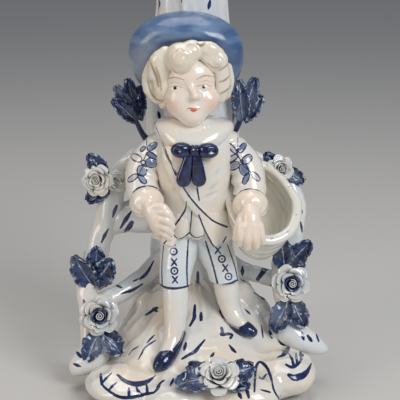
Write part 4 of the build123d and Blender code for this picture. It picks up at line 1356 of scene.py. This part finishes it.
SHOE_LINES = [
    ((0.18, 0.31, 0.44), [(-6.2, -49.1), (-7.3, -52.5), (-9.8, -56.2)]),
]
TREE_LINES = [
    ((0.5, 0.8, 0.3), [(-15.6, 75.4), (-15.2, 73.6), (-15.6, 71.8)]),
    ((0.33, 0.66, 0.26), [(-31.2, -2.1), (-32.0, -4.1), (-32.7, -6.4)]),
    ((0.33, 0.72, 0.33), [(-25.8, -4.3), (-27.8, -7.3), (-29.8, -10.5)]),
    ((0.59, 0.96, 0.45), [(-25.5, -8.4), (-26.8, -10.5), (-28.3, -12.6)]),
    ((0.26, 0.6, 0.26), [(-34.3, -10.7), (-35.8, -13.5), (-37.0, -16.1)]),
    ((0.2, 0.39, 0.2), [(-38.9, -17.1), (-39.3, -19.7)]),
    ((0.26, 0.72, 0.39), [(-28.3, -15.1), (-30.5, -17.1), (-32.2, -20.2)]),
    ((0.26, 0.59, 0.26), [(-29.5, -35.0), (-25.5, -33.9), (-21.4, -31.4)]),
    ((0.39, 0.59, 0.33), [(-31.2, -32.1), (-29.5, -32.8)]),
    ((0.26, 0.59, 0.26), [(-17.4, -22.9), (-19.7, -27.0), (-22.0, -29.2), (-24.9, -30.4)]),
    ((0.26, 0.59, 0.33), [(-20.3, -20.6), (-22.6, -23.8)]),
    ((0.33, 0.59, 0.26), [(15.9, -25.1), (15.9, -28.2)]),
    ((0.33, 1.08, 0.59), [(26.5, -22.9), (24.2, -26.1), (21.5, -29.9)]),
    ((0.26, 0.6, 0.39), [(27.0, -31.5), (25.7, -34.5)]),
    ((0.26, 0.9, 0.72), [(31.4, 7.9), (34.3, 3.2), (37.8, -4.5)]),
    ((0.26, 0.6, 0.39), [(37.7, -8.2), (38.4, -12.0)]),
    ((0.39, 0.59, 0.33), [(-0.8, -27.0), (-0.8, -31.4)]),
    ((0.39, 0.66, 0.33), [(38.2, -49.7), (38.9, -52.4)]),
    ((0.45, 0.72, 0.39), [(40.5, -51.0), (41.9, -52.9)]),
    ((0.33, 0.59, 0.33), [(43.6, -50.1), (44.5, -52.9)]),
    ((0.45, 0.96, 0.45), [(-24.4, 33.2), (-22.7, 30.6), (-20.0, 25.7)]),
    ((0.45, 0.84, 0.45), [(12.8, 34.7), (12.5, 31.9), (12.2, 28.5)]),
    ((0.33, 0.66, 0.33), [(-15.6, 33.0), (-15.0, 30.4)]),
    ((0.33, 0.72, 0.33), [(-17.8, 73.9), (-17.1, 70.7)]),
    ((0.33, 0.66, 0.26), [(3.8, 74.8), (3.2, 71.6)]),
    ((0.33, 0.6, 0.26), [(-43.3, -19.7), (-44.1, -23.2)]),
    ((0.33, 0.6, 0.26), [(-43.7, -37.5), (-42.9, -41.1)]),
    ((0.33, 0.6, 0.26), [(-46.3, -57.0), (-44.4, -59.1)]),
    ((0.26, 0.59, 0.26), [(-47.4, -61.5), (-44.8, -62.4)]),
]
MOUND_LINES = [
    ((0.45, 1.2, 0.26), [(-30.9, -65.6), (-27.8, -68.0), (-23.7, -69.0), (-19.7, -68.0),
                         (-16.7, -65.9)]),
    ((0.33, 0.55, 0.45), [(-37.0, -68.9), (-34.7, -71.2), (-30.6, -73.7), (-26.1, -74.1),
                          (-20.9, -72.9), (-17.4, -72.3)]),
    ((0.33, 0.49, 0.33), [(-37.3, -65.1), (-36.9, -68.8)]),
    ((0.26, 0.49, 0.33), [(-33.2, -64.9), (-35.2, -66.9), (-36.6, -68.6)]),
    ((0.26, 0.52, 0.33), [(-31.3, -68.4), (-33.0, -69.9), (-34.1, -71.4)]),
    ((0.26, 0.52, 0.39), [(-26.6, -70.4), (-26.7, -74.1)]),
    ((0.26, 0.59, 0.39), [(-23.9, -70.2), (-23.2, -71.6), (-22.1, -73.2)]),
    ((0.26, 0.52, 0.33), [(-20.0, -69.3), (-19.7, -72.7)]),
    ((0.39, 0.59, 0.39), [(-13.6, -67.6), (-15.2, -69.0), (-16.1, -71.0), (-17.4, -72.3)]),
    ((0.33, 0.47, 0.39), [(20.4, -71.9), (20.6, -66.8), (21.0, -62.8), (22.5, -60.7), (25.1, -62.9),
                          (26.8, -67.2), (27.7, -71.2), (29.7, -74.6)]),
    ((0.26, 0.44, 0.33), [(22.6, -71.1), (26.4, -72.1)]),
    ((0.26, 0.47, 0.26), [(22.1, -65.9), (23.1, -67.2), (24.9, -65.3)]),
    ((0.45, 0.6, 0.39), [(17.2, -69.8), (18.3, -74.1)]),
    ((0.26, 0.59, 0.39), [(14.3, -72.2), (15.4, -74.2)]),
    ((0.66, 1.2, 0.26), [(33.4, -65.6), (35.2, -66.6), (37.3, -66.4), (40.0, -64.6), (41.8, -61.3)]),
    ((0.39, 0.55, 0.26), [(32.2, -61.7), (33.9, -62.6), (35.4, -62.4), (37.7, -60.3), (39.5, -55.6)]),
    ((0.26, 0.52, 0.33), [(33.3, -57.5), (34.5, -59.6), (35.0, -62.1)]),
    ((0.26, 0.52, 0.33), [(36.0, -57.3), (36.4, -61.6)]),
    ((0.26, 0.52, 0.33), [(37.7, -56.0), (37.8, -60.0)]),
    ((0.45, 0.96, 0.26), [(29.4, -58.9), (31.4, -58.0), (33.1, -55.1), (34.6, -52.1)]),
    ((0.33, 0.47, 0.33), [(-20.4, -43.1), (-18.8, -42.1), (-17.4, -41.3), (-15.6, -42.0)]),
    ((0.45, 0.6, 0.33), [(-17.4, -40.9), (-15.8, -40.4)]),
    ((0.33, 0.66, 0.39), [(-1.9, -39.4), (-2.1, -42.4), (-2.2, -44.2), (-3.8, -47.2)]),
    ((0.39, 0.6, 0.39), [(0.4, -42.3), (0.4, -45.2)]),
    ((0.45, 0.59, 0.39), [(8.1, -47.9), (8.4, -49.5), (8.1, -50.6), (10.5, -50.2), (12.0, -50.5),
                          (11.4, -51.8)]),
    ((0.26, 0.59, 0.26), [(10.9, -54.3), (12.4, -56.2), (13.7, -57.3)]),
    ((0.26, 0.62, 0.39), [(1.9, -52.3), (-0.2, -54.8), (-1.9, -56.8), (-4.5, -58.2), (-6.7, -59.6)]),
    ((0.39, 0.59, 0.26), [(-5.3, -53.7), (-6.0, -56.4)]),
    ((0.2, 0.36, 0.2), [(23.0, -46.9), (23.7, -51.8)]),
    ((0.39, 0.59, 0.33), [(26.1, -49.2), (27.0, -51.8)]),
    ((0.26, 0.39, 0.2), [(-16.6, -52.5), (-20.3, -55.1), (-21.8, -57.4), (-23.2, -59.9)]),
    ((0.2, 0.36, 0.2), [(-16.9, -50.5), (-18.6, -52.1), (-19.9, -53.6)]),
    ((0.2, 0.39, 0.26), [(-23.1, -55.0), (-25.1, -56.1), (-26.7, -58.1)]),
    ((0.26, 0.55, 0.33), [(-28.7, -39.4), (-27.5, -41.3), (-28.4, -44.1)]),
    ((0.26, 0.47, 0.2), [(20.4, -34.8), (23.9, -37.0), (25.9, -37.6)]),
    ((0.33, 0.52, 0.26), [(-11.2, -37.5), (-11.8, -40.9)]),
    ((0.26, 0.49, 0.26), [(16.9, -40.9), (18.9, -42.9)]),
    ((0.26, 0.49, 0.26), [(-7.1, -34.5), (-7.5, -37.5)]),
    ((0.26, 0.52, 0.26), [(5.2, -57.2), (3.9, -59.6)]),
    ((0.26, 0.47, 0.26), [(-9.9, -66.9), (-11.1, -69.6)]),
    ((0.26, 0.52, 0.26), [(-38.6, -60.0), (-40.1, -62.2)]),
]
# Leaves and petals on the sleeves: (base, tip, width, share of the wash inside)
SLEEVE_PETALS = [
    ((-19.6, 18.8), (-16.2, 21.4), 2.2, 0.75),
    ((-22.3, 18.4), (-20.6, 20.0), 1.3, 0.5),
    ((-19.8, 17.8), (-16.3, 15.5), 1.9, 0.9),
    ((-22.0, 14.8), (-25.7, 16.8), 2.6, 0.08),
    ((-20.4, 14.1), (-16.1, 13.7), 3.4, 0.75),
    ((-21.6, 13.0), (-21.9, 9.0), 3.6, 0.6),
    ((-23.4, 9.5), (-27.1, 7.0), 2.0, 0.35),
    ((-22.9, 9.4), (-20.3, 6.2), 2.0, 0.6),
    ((13.6, 17.5), (10.7, 21.1), 1.7, 0.3),
    ((14.6, 17.9), (17.1, 21.3), 2.0, 0.75),
    ((14.0, 16.8), (10.5, 14.5), 2.0, 0.4),
    ((16.0, 13.9), (19.3, 16.7), 2.8, 0.55),
    ((14.8, 13.7), (10.7, 11.9), 2.8, 0.6),
    ((15.5, 13.4), (17.5, 9.3), 3.2, 0.75),
    ((18.2, 10.1), (16.3, 5.9), 1.9, 0.7),
    ((19.2, 10.4), (22.4, 7.3), 2.0, 0.3),
]
SLEEVE_STEMS = [
    ((0.14, 0.18, 0.16), [(-20.1, 23.8), (-20.0, 21.0), (-19.8, 18.4), (-21.1, 15.0)]),
    ((0.14, 0.18, 0.16), [(-21.3, 13.1), (-22.3, 10.9), (-23.2, 9.4)]),
    ((0.12, 0.18, 0.16), [(14.1, 23.6), (14.2, 20.6), (14.1, 17.2), (15.4, 14.6)]),
    ((0.14, 0.18, 0.16), [(15.5, 14.0), (17.4, 11.8), (18.9, 10.7)]),
]
# Rings at the middles of the sleeve flowers: (place, radius)
FLOWER_EYES = [((-21.3, 14.1), 0.83), ((15.6, 14.5), 0.6)]
# Marks down the breeches
RING_RADIUS = 1.25
CROSS_REACH = np.array([0.95, 1.25])
CROSSES = [(-10.3, -15.7), (-9.7, -23.3), (-9.4, -29.9), (6.7, -18.8), (9.5, -25.5)]
RINGS = [(-9.9, -19.3), (-9.6, -26.6), (8.2, -22.1), (10.7, -28.7)]


COAT = ["jacket", "sash", "waistcoat", *both("coat_skirt"), "collar"]
SLEEVES = both("sleeve")
BREECHES = both("breeches")
TREE = [*BRANCHES, "trunk_vase"]

# What is painted on, its lines and how loaded the brush was
PAINTED = [
    (COAT, COAT_LINES, 1.0), (SLEEVES, CUFF_LINES, 1.0), (BREECHES, BREECHES_LINES, 1.15),
    (["stocking_left"], SHOE_LINES, 1.2), (TREE, TREE_LINES, 1.25), (["base_mound"], MOUND_LINES, 1.25),
    (SLEEVES, SLEEVE_STEMS, 1.15),
]
for painted_names, painted_lines, load in PAINTED:
    for line_widths, line_route in painted_lines:
        brush(painted_names, load * np.array(line_widths), line_route)
for petal_base, petal_tip, petal_width, petal_fill in SLEEVE_PETALS:
    petal_mark(SLEEVES, petal_base, petal_tip, petal_width, petal_fill)
for eye_place, eye_radius in FLOWER_EYES:
    brush(SLEEVES, (0.2, 0.2), ring_route(eye_place, eye_radius))
for cross_place in CROSSES:
    for tilt in (-1, 1):
        arm = CROSS_REACH * (1, tilt)
        brush(BREECHES, (0.30, 0.36, 0.28), [cross_place - arm, cross_place + arm])
for ring_place in RINGS:
    brush(BREECHES, (0.31, 0.31), ring_route(ring_place, RING_RADIUS))
    spot(BREECHES, ring_place, 0.34)

# The face: brows, eye outlines, lids and lips, as (layer, half widths, sheet points)
FACE_LINES = [
    ("brown", (0.14, 0.26, 0.16), [(-12.9, 45.0), (-9.6, 46.0), (-5.9, 45.0)]),
    ("brown", (0.14, 0.24, 0.14), [(-1.4, 45.1), (1.8, 46.6), (5.4, 46.2)]),
    ("brown", (0.10, 0.20, 0.10), [(-11.9, 42.2), (-9.4, 42.8), (-6.4, 42.2)]),
    ("brown", (0.10, 0.20, 0.10), [(-1.4, 42.6), (1.4, 43.2), (4.5, 42.7)]),
    ("brown", (0.06, 0.10, 0.06), [(-12.2, 43.6), (-9.2, 44.2), (-6.6, 43.2)]),
    ("brown", (0.06, 0.10, 0.06), [(-0.6, 43.8), (1.8, 44.8), (4.6, 44.4)]),
    ("red", (0.12, 0.30, 0.34, 0.30, 0.12),
     [(-4.9, 34.3), (-3.6, 34.4), (-2.5, 34.1), (-1.3, 34.4), (0.0, 34.2)]),
    ("red", (0.26, 0.50, 0.26), [(-3.5, 33.7), (-2.4, 33.4), (-1.3, 33.7)]),
]
for face_layer, line_widths, line_route in FACE_LINES:
    brush(["head"], line_widths, line_route, face_layer)
for eye_place in EYES:
    spot(["head"], eye_place, 0.60, "black")
# Cheeks, chin and nose: place, radius and strength
BLUSHES = [
    ((-10.6, 35.6), 3.4, 0.42),
    ((4.9, 36.0), 3.4, 0.42),
    ((-2.6, 29.8), 2.2, 0.18),
    ((-1.9, 38.4), 1.3, 0.12),
]
head_piece = PIECES["head"]
for blush_place, blush_radius, blush_strength in BLUSHES:
    blush_hit = first_hit([head_piece], *blush_place)
    blush_reach = np.linalg.norm(head_piece.points - blush_hit[1], axis=1) / blush_radius
    blush_layer = head_piece.layer("blush", 0.0)
    blush_layer += blush_strength * np.exp(-(blush_reach**2))
HAIR_LINES = [
    ((0.2, 0.55, 0.30), [(-18.6, 51.6), (-17.4, 48.8), (-16.2, 45.8), (-15.6, 42.6)]),
    ((0.2, 0.45, 0.30), [(-19.6, 44.5), (-18.2, 40.1), (-16.3, 37.8), (-14.6, 37.4)]),
    ((0.2, 0.35, 0.20), [(-16.5, 49.8), (-15.2, 45.8), (-14.5, 41.1)]),
    ((0.2, 0.35, 0.20), [(7.2, 48.6), (9.2, 49.8), (10.6, 51.2)]),
    ((0.4, 0.70, 0.40), [(-1.0, 58.6), (0.4, 58.0), (1.8, 59.0)]),
    ((0.2, 0.35, 0.20), [(7.6, 39.8), (9.9, 41.1), (11.6, 42.8)]),
    ((0.2, 0.35, 0.20), [(7.2, 44.2), (9.4, 45.0), (11.0, 46.6)]),
    ((0.15, 0.30, 0.15), [(-10.5, 49.2), (-7.8, 47.0), (-4.6, 46.9), (-1.8, 49.6)]),
    ((0.12, 0.22, 0.12), [(-9.0, 55.8), (-7.4, 57.0), (-5.8, 55.8)]),
    ((0.12, 0.22, 0.12), [(2.9, 51.2), (5.4, 49.6), (8.0, 50.0)]),
]
for line_widths, line_route in HAIR_LINES:
    brush(["hair", "forelock"], line_widths, line_route, "brown")

# The thin stems of the leaf sprays are glazed dark all over, like their leaves
for stem_name in both("stem"):
    stem_piece = PIECES[stem_name]
    stem_piece.layer("ink")[:] = 0.5 + 0.25 * noise(stem_piece.points, 2.0)


def open_bark(place, normal):
    """The trunk off its front, and its top all round, but not inside the bore."""
    unpainted = normal[1] > -0.35 or place[2] > 142
    return place[2] > 40 and unpainted and np.hypot(*(place[:2] - TRUNK_AXIS)) > BORE_RADIUS + 3


def open_rock(place, normal):
    """The sides and back of the mound, but not inside its foot."""
    return place[2] > 3 and normal[1] > -0.1 and np.hypot(place[0], place[1] - 2) > 21


def off_front(place, normal):
    """Anywhere that doesn't face the eye."""
    return normal[1] > -0.45


# Sides, back and top, which carry the same loose bark strokes
bark_strokes("trunk_vase", 90, (4, 11), (0.25, 0.6), open_bark)
bark_strokes("base_mound", 46, (2.5, 7), (0.25, 0.55), open_rock)
for limb_name, limb_rows in BRANCHES.items():
    if not limb_name.startswith("stem"):
        limb_heading = np.subtract(limb_rows[-1][:3], limb_rows[0][:3])
        bark_strokes(limb_name, 9, (3, 7), (0.22, 0.5), off_front, unit(limb_heading))

# The hat's glaze: thinner glaze and a painted reflection at the lower left, painted shade in its crease
hat_piece = PIECES["hat_brim"]
hat_seen = sheet_places(hat_piece.points)
hat_lower_left = (hat_seen - [-18.5, 51.5]) / [11.0, 8.5]
hat_piece.layers["pale"] = np.clip(1.15 - np.linalg.norm(hat_lower_left, axis=1), 0, 1) * 0.95
# Painted shade along the crease, and a deeper blue at the right near the hair
hat_crease = (hat_seen - [4.5, 59.5]) @ np.array([[0.85, 0.53], [0.53, -0.85]]).T / [9.0, 2.3]
hat_right = (hat_seen - [15.0, 51.0]) / [3.0, 8.0]
hat_piece.layers["deep"] = np.maximum(np.exp(-(hat_crease**2).sum(1)), 0.6 * np.exp(-(hat_right**2).sum(1)))


# ------------------------------------------------------------------ glazes

def rgb(red, green, blue):
    return (red, green, blue, 1.0)


class Glaze:
    """A material with its shader and short ways to add nodes to it."""

    def __init__(self, name):
        self.material = bpy.data.materials.new(name)
        self.material.use_nodes = True
        self.tree = self.material.node_tree
        self.tree.nodes.clear()
        out = self.node("ShaderNodeOutputMaterial")
        self.shader = self.node("ShaderNodeBsdfPrincipled")
        self.tree.links.new(self.shader.outputs[0], out.inputs[0])

    def node(self, kind, inputs=(), **settings):
        """A new node, with constants or links at the given sockets."""
        node = self.tree.nodes.new(kind)
        for key, value in settings.items():
            setattr(node, key, value)
        for socket, value in inputs:
            if isinstance(value, (tuple, float, int)):
                node.inputs[socket].default_value = value
            else:
                self.tree.links.new(value, node.inputs[socket])
        return node

    def layer(self, name):
        """A painted layer of the mesh."""
        return self.node("ShaderNodeAttribute", attribute_name=name).outputs["Fac"]

    def spread(self, value, low, high, first=0.0, last=1.0):
        """Smooth step of a value from one range to another."""
        inputs = enumerate((value, low, high, first, last))
        return self.node("ShaderNodeMapRange", inputs, interpolation_type="SMOOTHSTEP").outputs[0]

    def mix(self, share, first, second):
        """The first colour, going over to the second by a share."""
        return self.node("ShaderNodeMix", [(0, share), (6, first), (7, second)], data_type="RGBA").outputs[2]

    def maths(self, operation, first, second):
        return self.node("ShaderNodeMath", enumerate((first, second)), operation=operation).outputs[0]

    def speckle(self, scale, detail=2.0, stretch=(1, 1, 1), rough=0.5):
        """Noise in object space, scale in lumps per metre."""
        place = self.node("ShaderNodeTexCoord").outputs["Object"]
        mapping = self.node("ShaderNodeMapping", [(0, place), (3, stretch)])
        inputs = [(0, mapping.outputs[0]), ("Scale", scale), ("Detail", detail), ("Roughness", rough)]
        return self.node("ShaderNodeTexNoise", inputs).outputs["Fac"]

    def jitter(self, value, scale, detail, amount):
        """A value made uneven by noise."""
        grain = self.maths("SUBTRACT", self.speckle(scale, detail), 0.5)
        return self.maths("ADD", value, self.maths("MULTIPLY", grain, amount))

    def finish(self, colour, roughness=0.16, coat_roughness=0.11, soft=0.06):
        """Connects the colour and gives the shader a clear glassy coat; returns the material."""
        rough = self.spread(self.speckle(260.0), 0.3, 0.7, roughness * 0.8, roughness * 1.25)
        self.tree.links.new(colour, self.shader.inputs["Base Color"])
        self.tree.links.new(rough, self.shader.inputs["Roughness"])
        settings = {
            "IOR": 1.5, "Coat Weight": 0.75, "Coat Roughness": coat_roughness, "Subsurface Weight": soft,
            "Subsurface Radius": (1.0, 0.8, 0.6), "Subsurface Scale": 0.0012,
        }
        for socket, value in settings.items():
            self.shader.inputs[socket].default_value = value
        return self.material


INK_DARK = rgb(0.005, 0.012, 0.070)
INK_MIDDLE = rgb(0.013, 0.030, 0.13)
INK_PALE = rgb(0.13, 0.21, 0.42)
WASH = rgb(0.090, 0.150, 0.30)
# Grey-blue of glaze pooled in hollows, which also stands for painted shade there
POOL_AND_SHADE = rgb(0.40, 0.47, 0.53)
FIRING_SPECK = rgb(0.36, 0.34, 0.33)
BLUSH = rgb(0.80, 0.30, 0.20)
# Painted layer, colour and strength
FACE_PAINTS = [
    ("brown", rgb(0.24, 0.14, 0.08), 0.62),
    ("black", rgb(0.012, 0.010, 0.010), 1.0),
    ("red", rgb(0.62, 0.10, 0.04), 0.9),
]


def porcelain(name, body, warm, pooling_and_shade=0.5, blotch=110.0, gloss=(0.16, 0.11)):
    """White glazed body, cooler grey-blue in its hollows from pooled glaze and painted shade, with brushed
    cobalt where painted.
    """
    glaze = Glaze(name)
    colour = glaze.mix(glaze.spread(glaze.speckle(blotch, 3.0), 0.38, 0.66), body, warm)
    # Pooled glaze and painted shade, as strong as the surface is hollow
    pool_and_shade = glaze.maths("MULTIPLY", glaze.spread(glaze.layer("hollow"), 0.04, 0.75), pooling_and_shade)
    colour = glaze.mix(pool_and_shade, colour, POOL_AND_SHADE)
    dots = glaze.spread(glaze.speckle(1500.0, 1.0), 0.74, 0.80, 0.0, 0.35)
    colour = glaze.mix(dots, colour, FIRING_SPECK)
    colour = glaze.mix(glaze.maths("MULTIPLY", glaze.layer("wash"), 0.9), colour, WASH)
    colour = glaze.mix(glaze.spread(glaze.layer("blush"), 0.0, 1.0), colour, BLUSH)
    for layer_name, paint_colour, strength in FACE_PAINTS:
        painted = glaze.spread(glaze.layer(layer_name), -0.09, 0.09, 0.0, strength)
        colour = glaze.mix(painted, colour, paint_colour)
    brushed = glaze.mix(glaze.spread(glaze.speckle(420.0), 0.40, 0.68), INK_DARK, INK_MIDDLE)
    brushed = glaze.mix(glaze.spread(glaze.layer("ink"), -0.06, 0.10, 0.35, 1.0), INK_PALE, brushed)
    edge = glaze.jitter(glaze.layer("ink"), 900.0, 2.0, 0.30)
    colour = glaze.mix(glaze.spread(edge, -0.07, 0.07), colour, brushed)
    return glaze.finish(colour, *gloss)


def hair_glaze(name):
    """Cream hair, with a brown wash and painted shade in its hollows, and brown where it is painted."""
    glaze = Glaze(name)
    lumps = glaze.spread(glaze.speckle(150.0, 3.0), 0.36, 0.66)
    colour = glaze.mix(lumps, rgb(0.84, 0.78, 0.68), rgb(0.80, 0.70, 0.55))
    # Brown wash and painted shade in the hollows
    hollows = glaze.spread(glaze.layer("hollow"), 0.02, 0.60, 0.0, 0.85)
    colour = glaze.mix(hollows, colour, rgb(0.40, 0.29, 0.17))
    painted = glaze.spread(glaze.layer("brown"), -0.35, 0.30, 0.0, 0.85)
    return glaze.finish(glaze.mix(painted, colour, rgb(0.30, 0.19, 0.10)))


def cobalt_glaze(name):
    """Deep cobalt of the shoes and the bow."""
    glaze = Glaze(name)
    lumps = glaze.spread(glaze.speckle(420.0), 0.42, 0.70)
    colour = glaze.mix(lumps, rgb(0.003, 0.007, 0.040), rgb(0.012, 0.032, 0.14))
    return glaze.finish(colour, 0.14, 0.07, 0.0)


def hat_glaze(name):
    """Streaky thin blue of the hat, greyer at its lower left from thin glaze and a painted reflection, with
    painted shade in its crease.
    """
    glaze = Glaze(name)
    streaks = glaze.spread(glaze.speckle(90.0, 3.0, (1.0, 1.0, 2.6), 0.55), 0.36, 0.66)
    colour = glaze.mix(streaks, rgb(0.052, 0.115, 0.26), rgb(0.145, 0.235, 0.385))
    # Thinner glaze and a painted reflection at the lower left
    colour = glaze.mix(glaze.layer("pale"), colour, rgb(0.29, 0.335, 0.39))
    # Painted shade in the crease, and a deeper blue at the right
    colour = glaze.mix(glaze.layer("deep"), colour, rgb(0.022, 0.060, 0.17))
    return glaze.finish(colour, 0.34, 0.19, 0.0)


def leaf_glaze(name):
    """Dark leaves with thin patches, pale where the glaze has run off veins and worn off edges."""
    glaze = Glaze(name)
    lumps = glaze.spread(glaze.speckle(330.0, 3.0), 0.36, 0.64)
    colour = glaze.mix(lumps, rgb(0.005, 0.011, 0.048), rgb(0.020, 0.048, 0.155))
    thin = glaze.spread(glaze.speckle(120.0, 1.0), 0.50, 0.68, 0.0, 0.75)
    colour = glaze.mix(thin, colour, rgb(0.15, 0.19, 0.28))
    worn = glaze.jitter(glaze.layer("vein"), 300.0, 2.0, 1.1)
    colour = glaze.mix(glaze.spread(worn, 0.62, 1.05, 0.0, 0.8), colour, rgb(0.50, 0.58, 0.68))
    patches = glaze.spread(glaze.speckle(500.0, 1.0), 0.52, 0.66, 0.0, 0.7)
    chips = glaze.maths("MULTIPLY", glaze.layer("border"), patches)
    return glaze.finish(glaze.mix(chips, colour, rgb(0.48, 0.56, 0.66)), 0.24, 0.10, 0.0)


SKIN_GLOSS = (0.28, 0.19)
# White glazes: body, warmer patches, depth of pooled glaze and painted shade in hollows, blotches per metre,
# gloss
PORCELAINS = {
    "porcelain_rock": (rgb(0.81, 0.79, 0.74), rgb(0.86, 0.76, 0.64), 0.75, 60.0),
    "porcelain_trunk": (rgb(0.74, 0.77, 0.79), rgb(0.82, 0.78, 0.72), 0.7, 60.0),
    "porcelain_branch": (rgb(0.76, 0.79, 0.80), rgb(0.84, 0.79, 0.72), 0.7, 80.0),
    "porcelain_dress": (rgb(0.82, 0.80, 0.74), rgb(0.87, 0.78, 0.67)),
    "porcelain_cream": (rgb(0.88, 0.80, 0.70), rgb(0.90, 0.76, 0.62), 0.4),
    "porcelain_skin": (rgb(0.90, 0.80, 0.70), rgb(0.91, 0.76, 0.64), 0.16, 110.0, SKIN_GLOSS),
    "porcelain_breeches": (rgb(0.70, 0.76, 0.80), rgb(0.78, 0.79, 0.78)),
    "porcelain_stocking": (rgb(0.81, 0.80, 0.76), rgb(0.86, 0.77, 0.66)),
    "porcelain_basket": (rgb(0.79, 0.775, 0.70), rgb(0.83, 0.76, 0.64), 0.6),
    "porcelain_rose": (rgb(0.70, 0.71, 0.68), rgb(0.76, 0.71, 0.63), 0.90),
}
OTHER_GLAZES = {
    "porcelain_hair": hair_glaze,
    "cobalt_glaze": cobalt_glaze,
    "blue_hat_glaze": hat_glaze,
    "leaf_glaze": leaf_glaze,
}
GLAZES = {name: porcelain(name, *row) for name, row in PORCELAINS.items()}
GLAZES |= {name: make(name) for name, make in OTHER_GLAZES.items()}

SLOTS = {
    "porcelain_rock": ["base_mound"],
    "porcelain_trunk": ["trunk_vase"],
    "porcelain_branch": list(BRANCHES),
    "porcelain_dress": ["jacket", "waistcoat", *both("coat_skirt"), "sash", "collar", *both("sleeve")],
    "porcelain_cream": both("cuff"),
    "porcelain_skin": ["head", "neck", *both("hand")],
    "porcelain_hair": ["hair", "forelock"],
    "porcelain_breeches": both("breeches"),
    "porcelain_stocking": both("stocking"),
    "cobalt_glaze": [*both("shoe"), "bow_knot", *both("bow_loop", "bow_tail")],
    "blue_hat_glaze": ["hat_brim", "hat_crown"],
    "porcelain_basket": ["basket", "basket_rim"],
    "porcelain_rose": [row[0] for row in ROSES],
    "leaf_glaze": list(LEAVES),
}
PAINTED_LAYERS = {"ink": BARE, "wash": 0.0, "blush": 0.0, "brown": BARE, "black": BARE, "red": BARE}

for slot_name, members in SLOTS.items():
    for member in members:
        member_piece = PIECES[member]
        for layer_name, layer_start in PAINTED_LAYERS.items():
            member_piece.layer(layer_name, layer_start)
        write_mesh(member_piece, GLAZES[slot_name], [member])


# ------------------------------------------------------------------ floor, light and eye

# From here on lengths are metres
FLOOR_HALF = 2.4
FLOOR_DROP = 0.0002
FLOOR_CORNERS = [(x * FLOOR_HALF, y * FLOOR_HALF, 0) for x, y in ((-1, -1), (1, -1), (1, 1), (-1, 1))]
floor_mesh = bpy.data.meshes.new("floor_mesh")
floor_mesh.from_pydata(FLOOR_CORNERS, [], [(0, 1, 2, 3)])
floor = bpy.data.objects.new("floor", floor_mesh)
floor.location.z = -FLOOR_DROP
bpy.context.scene.collection.objects.link(floor)
floor_paper = Glaze("floor_paper")
floor_paper.shader.inputs["Base Color"].default_value = rgb(0.62, 0.60, 0.57)
floor_paper.shader.inputs["Roughness"].default_value = 0.7
floor_mesh.materials.append(floor_paper.material)

world = bpy.data.worlds.new("studio")
world.use_nodes = True
world.node_tree.nodes["Background"].inputs[0].default_value = rgb(0.72, 0.78, 0.88)
world.node_tree.nodes["Background"].inputs[1].default_value = 0.27
bpy.context.scene.world = world


LIT_POINT = Vector((0, 0, 0.075))


def softbox(name, place, size, power, colour):
    """A rectangular lamp that points at the figurine."""
    lamp = bpy.data.lights.new(name, "AREA")
    lamp.shape = "RECTANGLE"
    lamp.size, lamp.size_y = size
    lamp.energy = power
    lamp.color = colour
    thing = bpy.data.objects.new(name, lamp)
    thing.location = place
    thing.rotation_euler = (LIT_POINT - Vector(place)).to_track_quat("-Z", "Y").to_euler()
    bpy.context.scene.collection.objects.link(thing)


softbox("key_window", (0.42, -0.52, 0.52), (0.36, 0.36), 3.7, (0.96, 0.98, 1.0))
softbox("warm_fill", (-0.62, -0.40, 0.30), (0.28, 0.44), 1.5, (1.0, 0.88, 0.74))
softbox("top_light", (-0.05, 0.10, 0.75), (0.46, 0.46), 1.7, (1.0, 0.98, 0.95))

SENSOR_WIDTH = 36.0
camera = bpy.data.cameras.new("eye")
camera.sensor_width = SENSOR_WIDTH
camera.lens = SENSOR_WIDTH * EYE_DISTANCE / FIELD_SPAN
camera.clip_start = 0.01
eye_thing = bpy.data.objects.new("eye", camera)
eye_thing.location = Vector(EYE * MM)
eye_thing.rotation_euler = (math.pi / 2 - EYE_ELEVATION, 0, 0)
bpy.context.scene.collection.objects.link(eye_thing)
bpy.context.scene.camera = eye_thing
bpy.context.scene.view_settings.view_transform = "Standard"
bpy.context.scene.view_settings.look = "None"

bpy.context.view_layer.update()
